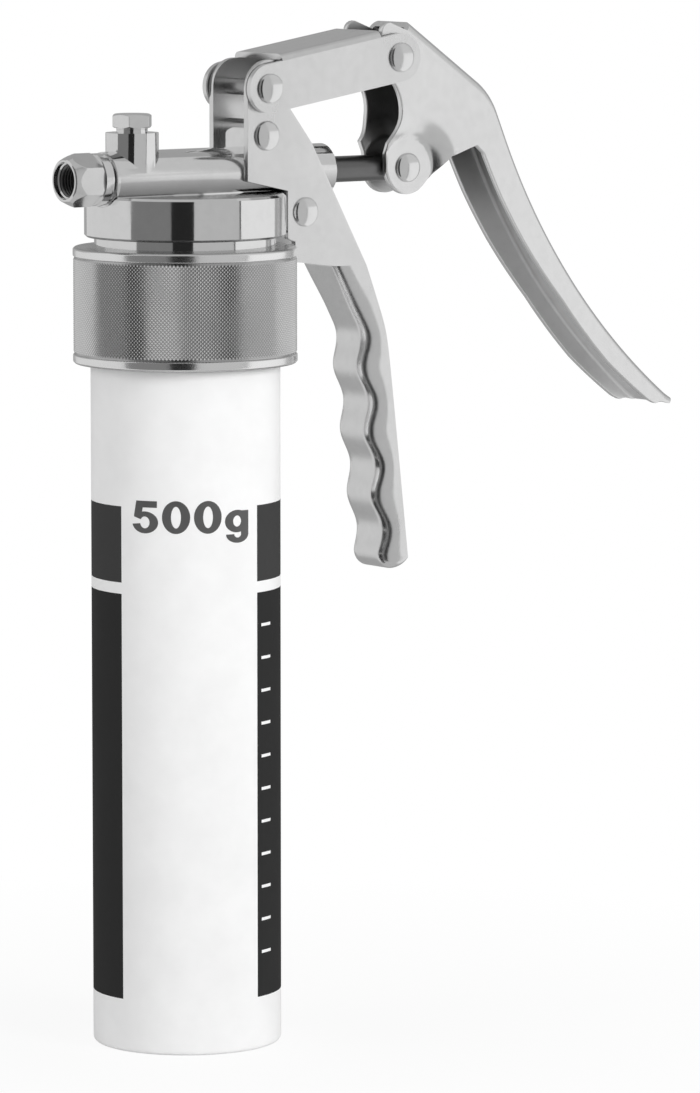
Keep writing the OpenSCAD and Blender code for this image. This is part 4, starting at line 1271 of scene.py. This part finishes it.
# %% Cards that only mirrors see
CARD_R, CARD_LOW, CARD_HIGH = 1.2, -1.6, 2.2
RIM_LOW, RIM_HIGH = -0.15, 0.32
WHITE_HIGH = 0.45
BANDS = (
    ("back_left_card", -180, -150, CARD_LOW, CARD_HIGH, 0.38),
    ("left_low_card", -150, -120, CARD_LOW, RIM_LOW, 0.38),
    ("left_rim_card", -150, -120, RIM_LOW, RIM_HIGH, 0.66),
    ("left_high_card", -150, -120, RIM_HIGH, CARD_HIGH, 0.38),
    ("left_card", -120, -62, CARD_LOW, CARD_HIGH, 0.66),
    ("left_grey_card", -62, -14, CARD_LOW, CARD_HIGH, 0.19),
    ("black_card", -14, 11.5, CARD_LOW, CARD_HIGH, 0.02),
    ("right_grey_card", 11.5, 65.5, CARD_LOW, CARD_HIGH, 0.50),
    ("thin_dark_card", 65.5, 67.5, CARD_LOW, WHITE_HIGH, 0.10),
    ("right_white_card", 67.5, 125, CARD_LOW, WHITE_HIGH, 0.82),
    ("right_upper_card", 65.5, 125, WHITE_HIGH, CARD_HIGH, 0.58),
    ("back_right_card", 125, 180, CARD_LOW, CARD_HIGH, 0.38),
)


def card(name, start, end, low, high, tone):
    """Part of an upright cylinder round the gun, between two angles from the camera's side."""
    a = np.radians(np.linspace(start, end, 24))
    x = CARD_R * (FRONT[0] * np.cos(a) + ASIDE[0] * np.sin(a))
    y = CARD_R * (FRONT[1] * np.cos(a) + ASIDE[1] * np.sin(a))
    grid = np.stack([np.stack([x, y, np.full_like(x, h)], -1) for h in (low, high)]) / MM
    obj = skin_object(name, [(grid, False, False)])
    finish = Finish(name + "_tone")
    glow = finish.tree.nodes.new("ShaderNodeEmission")
    glow.inputs["Color"].default_value = grey(1.0)
    glow.inputs["Strength"].default_value = tone
    finish.tree.links.new(glow.outputs[0], finish.tree.nodes["Material Output"].inputs[0])
    obj.data.materials.append(finish.material)
    obj.visible_camera = obj.visible_diffuse = obj.visible_shadow = False
    obj.visible_transmission = False
    obj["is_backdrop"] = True
    return obj


for spec in BANDS:
    card(*spec)
print(len(BANDS), "cards round the gun")

# %% [markdown]
# Two broad lamps light the print and the sheet softly. Mirrors do not see them.

# %% Soft lamps


def soft_lamp(name, place, aim, size, power):
    light = bpy.data.lights.new(name, "AREA")
    light.shape, light.size, light.energy = "DISK", size, power
    obj = bpy.data.objects.new(name, light)
    bpy.context.scene.collection.objects.link(obj)
    obj.location = place
    obj.rotation_euler = (Vector(aim) - Vector(place)).to_track_quat("-Z", "Y").to_euler()
    obj.visible_glossy = False
    return obj


middle = (0.03, 0.0, 0.18)
soft_lamp("key_lamp", (0.42, -2.05, 0.9), middle, 0.9, 23.5)
soft_lamp("fill_lamp", (-2.0, 0.35, 1.0), middle, 1.2, 8.5)
print("a key lamp and a fill lamp")

# %% [markdown]
# The camera stands where the photograph was taken from: a little above the collar and well to the
# left, with a long lens.

# %% Camera
CAMERA = Vector((-1.1271, -1.6070, 0.3823))
TALL_PIXELS, FOCAL_PIXELS = 1093.0, 6500.0
right = Vector((math.cos(AZIMUTH), -math.sin(AZIMUTH), 0))
level_part = math.cos(ELEVATION)
away = Vector(
    (math.sin(AZIMUTH) * level_part, math.cos(AZIMUTH) * level_part, -math.sin(ELEVATION))
)
upward = right.cross(away)
lens = bpy.data.cameras.new("photo_camera")
lens.sensor_fit = "VERTICAL"
lens.sensor_width = lens.sensor_height = 36.0
lens.lens = FOCAL_PIXELS / TALL_PIXELS * 36.0
lens.clip_start, lens.clip_end = 0.05, 20.0
camera = bpy.data.objects.new("photo_camera", lens)
bpy.context.scene.collection.objects.link(camera)
camera.matrix_world = Matrix(
    [
        [right[0], upward[0], -away[0], CAMERA[0]],
        [right[1], upward[1], -away[1], CAMERA[1]],
        [right[2], upward[2], -away[2], CAMERA[2]],
        [0, 0, 0, 1],
    ]
)
bpy.context.scene.camera = camera
bpy.context.scene.view_settings.view_transform = "Standard"
print("camera at", tuple(camera.matrix_world.translation))

# %% [markdown]
# The box round the dressed gun is measured.

# %% Sizes
bpy.context.view_layer.update()
low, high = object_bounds()
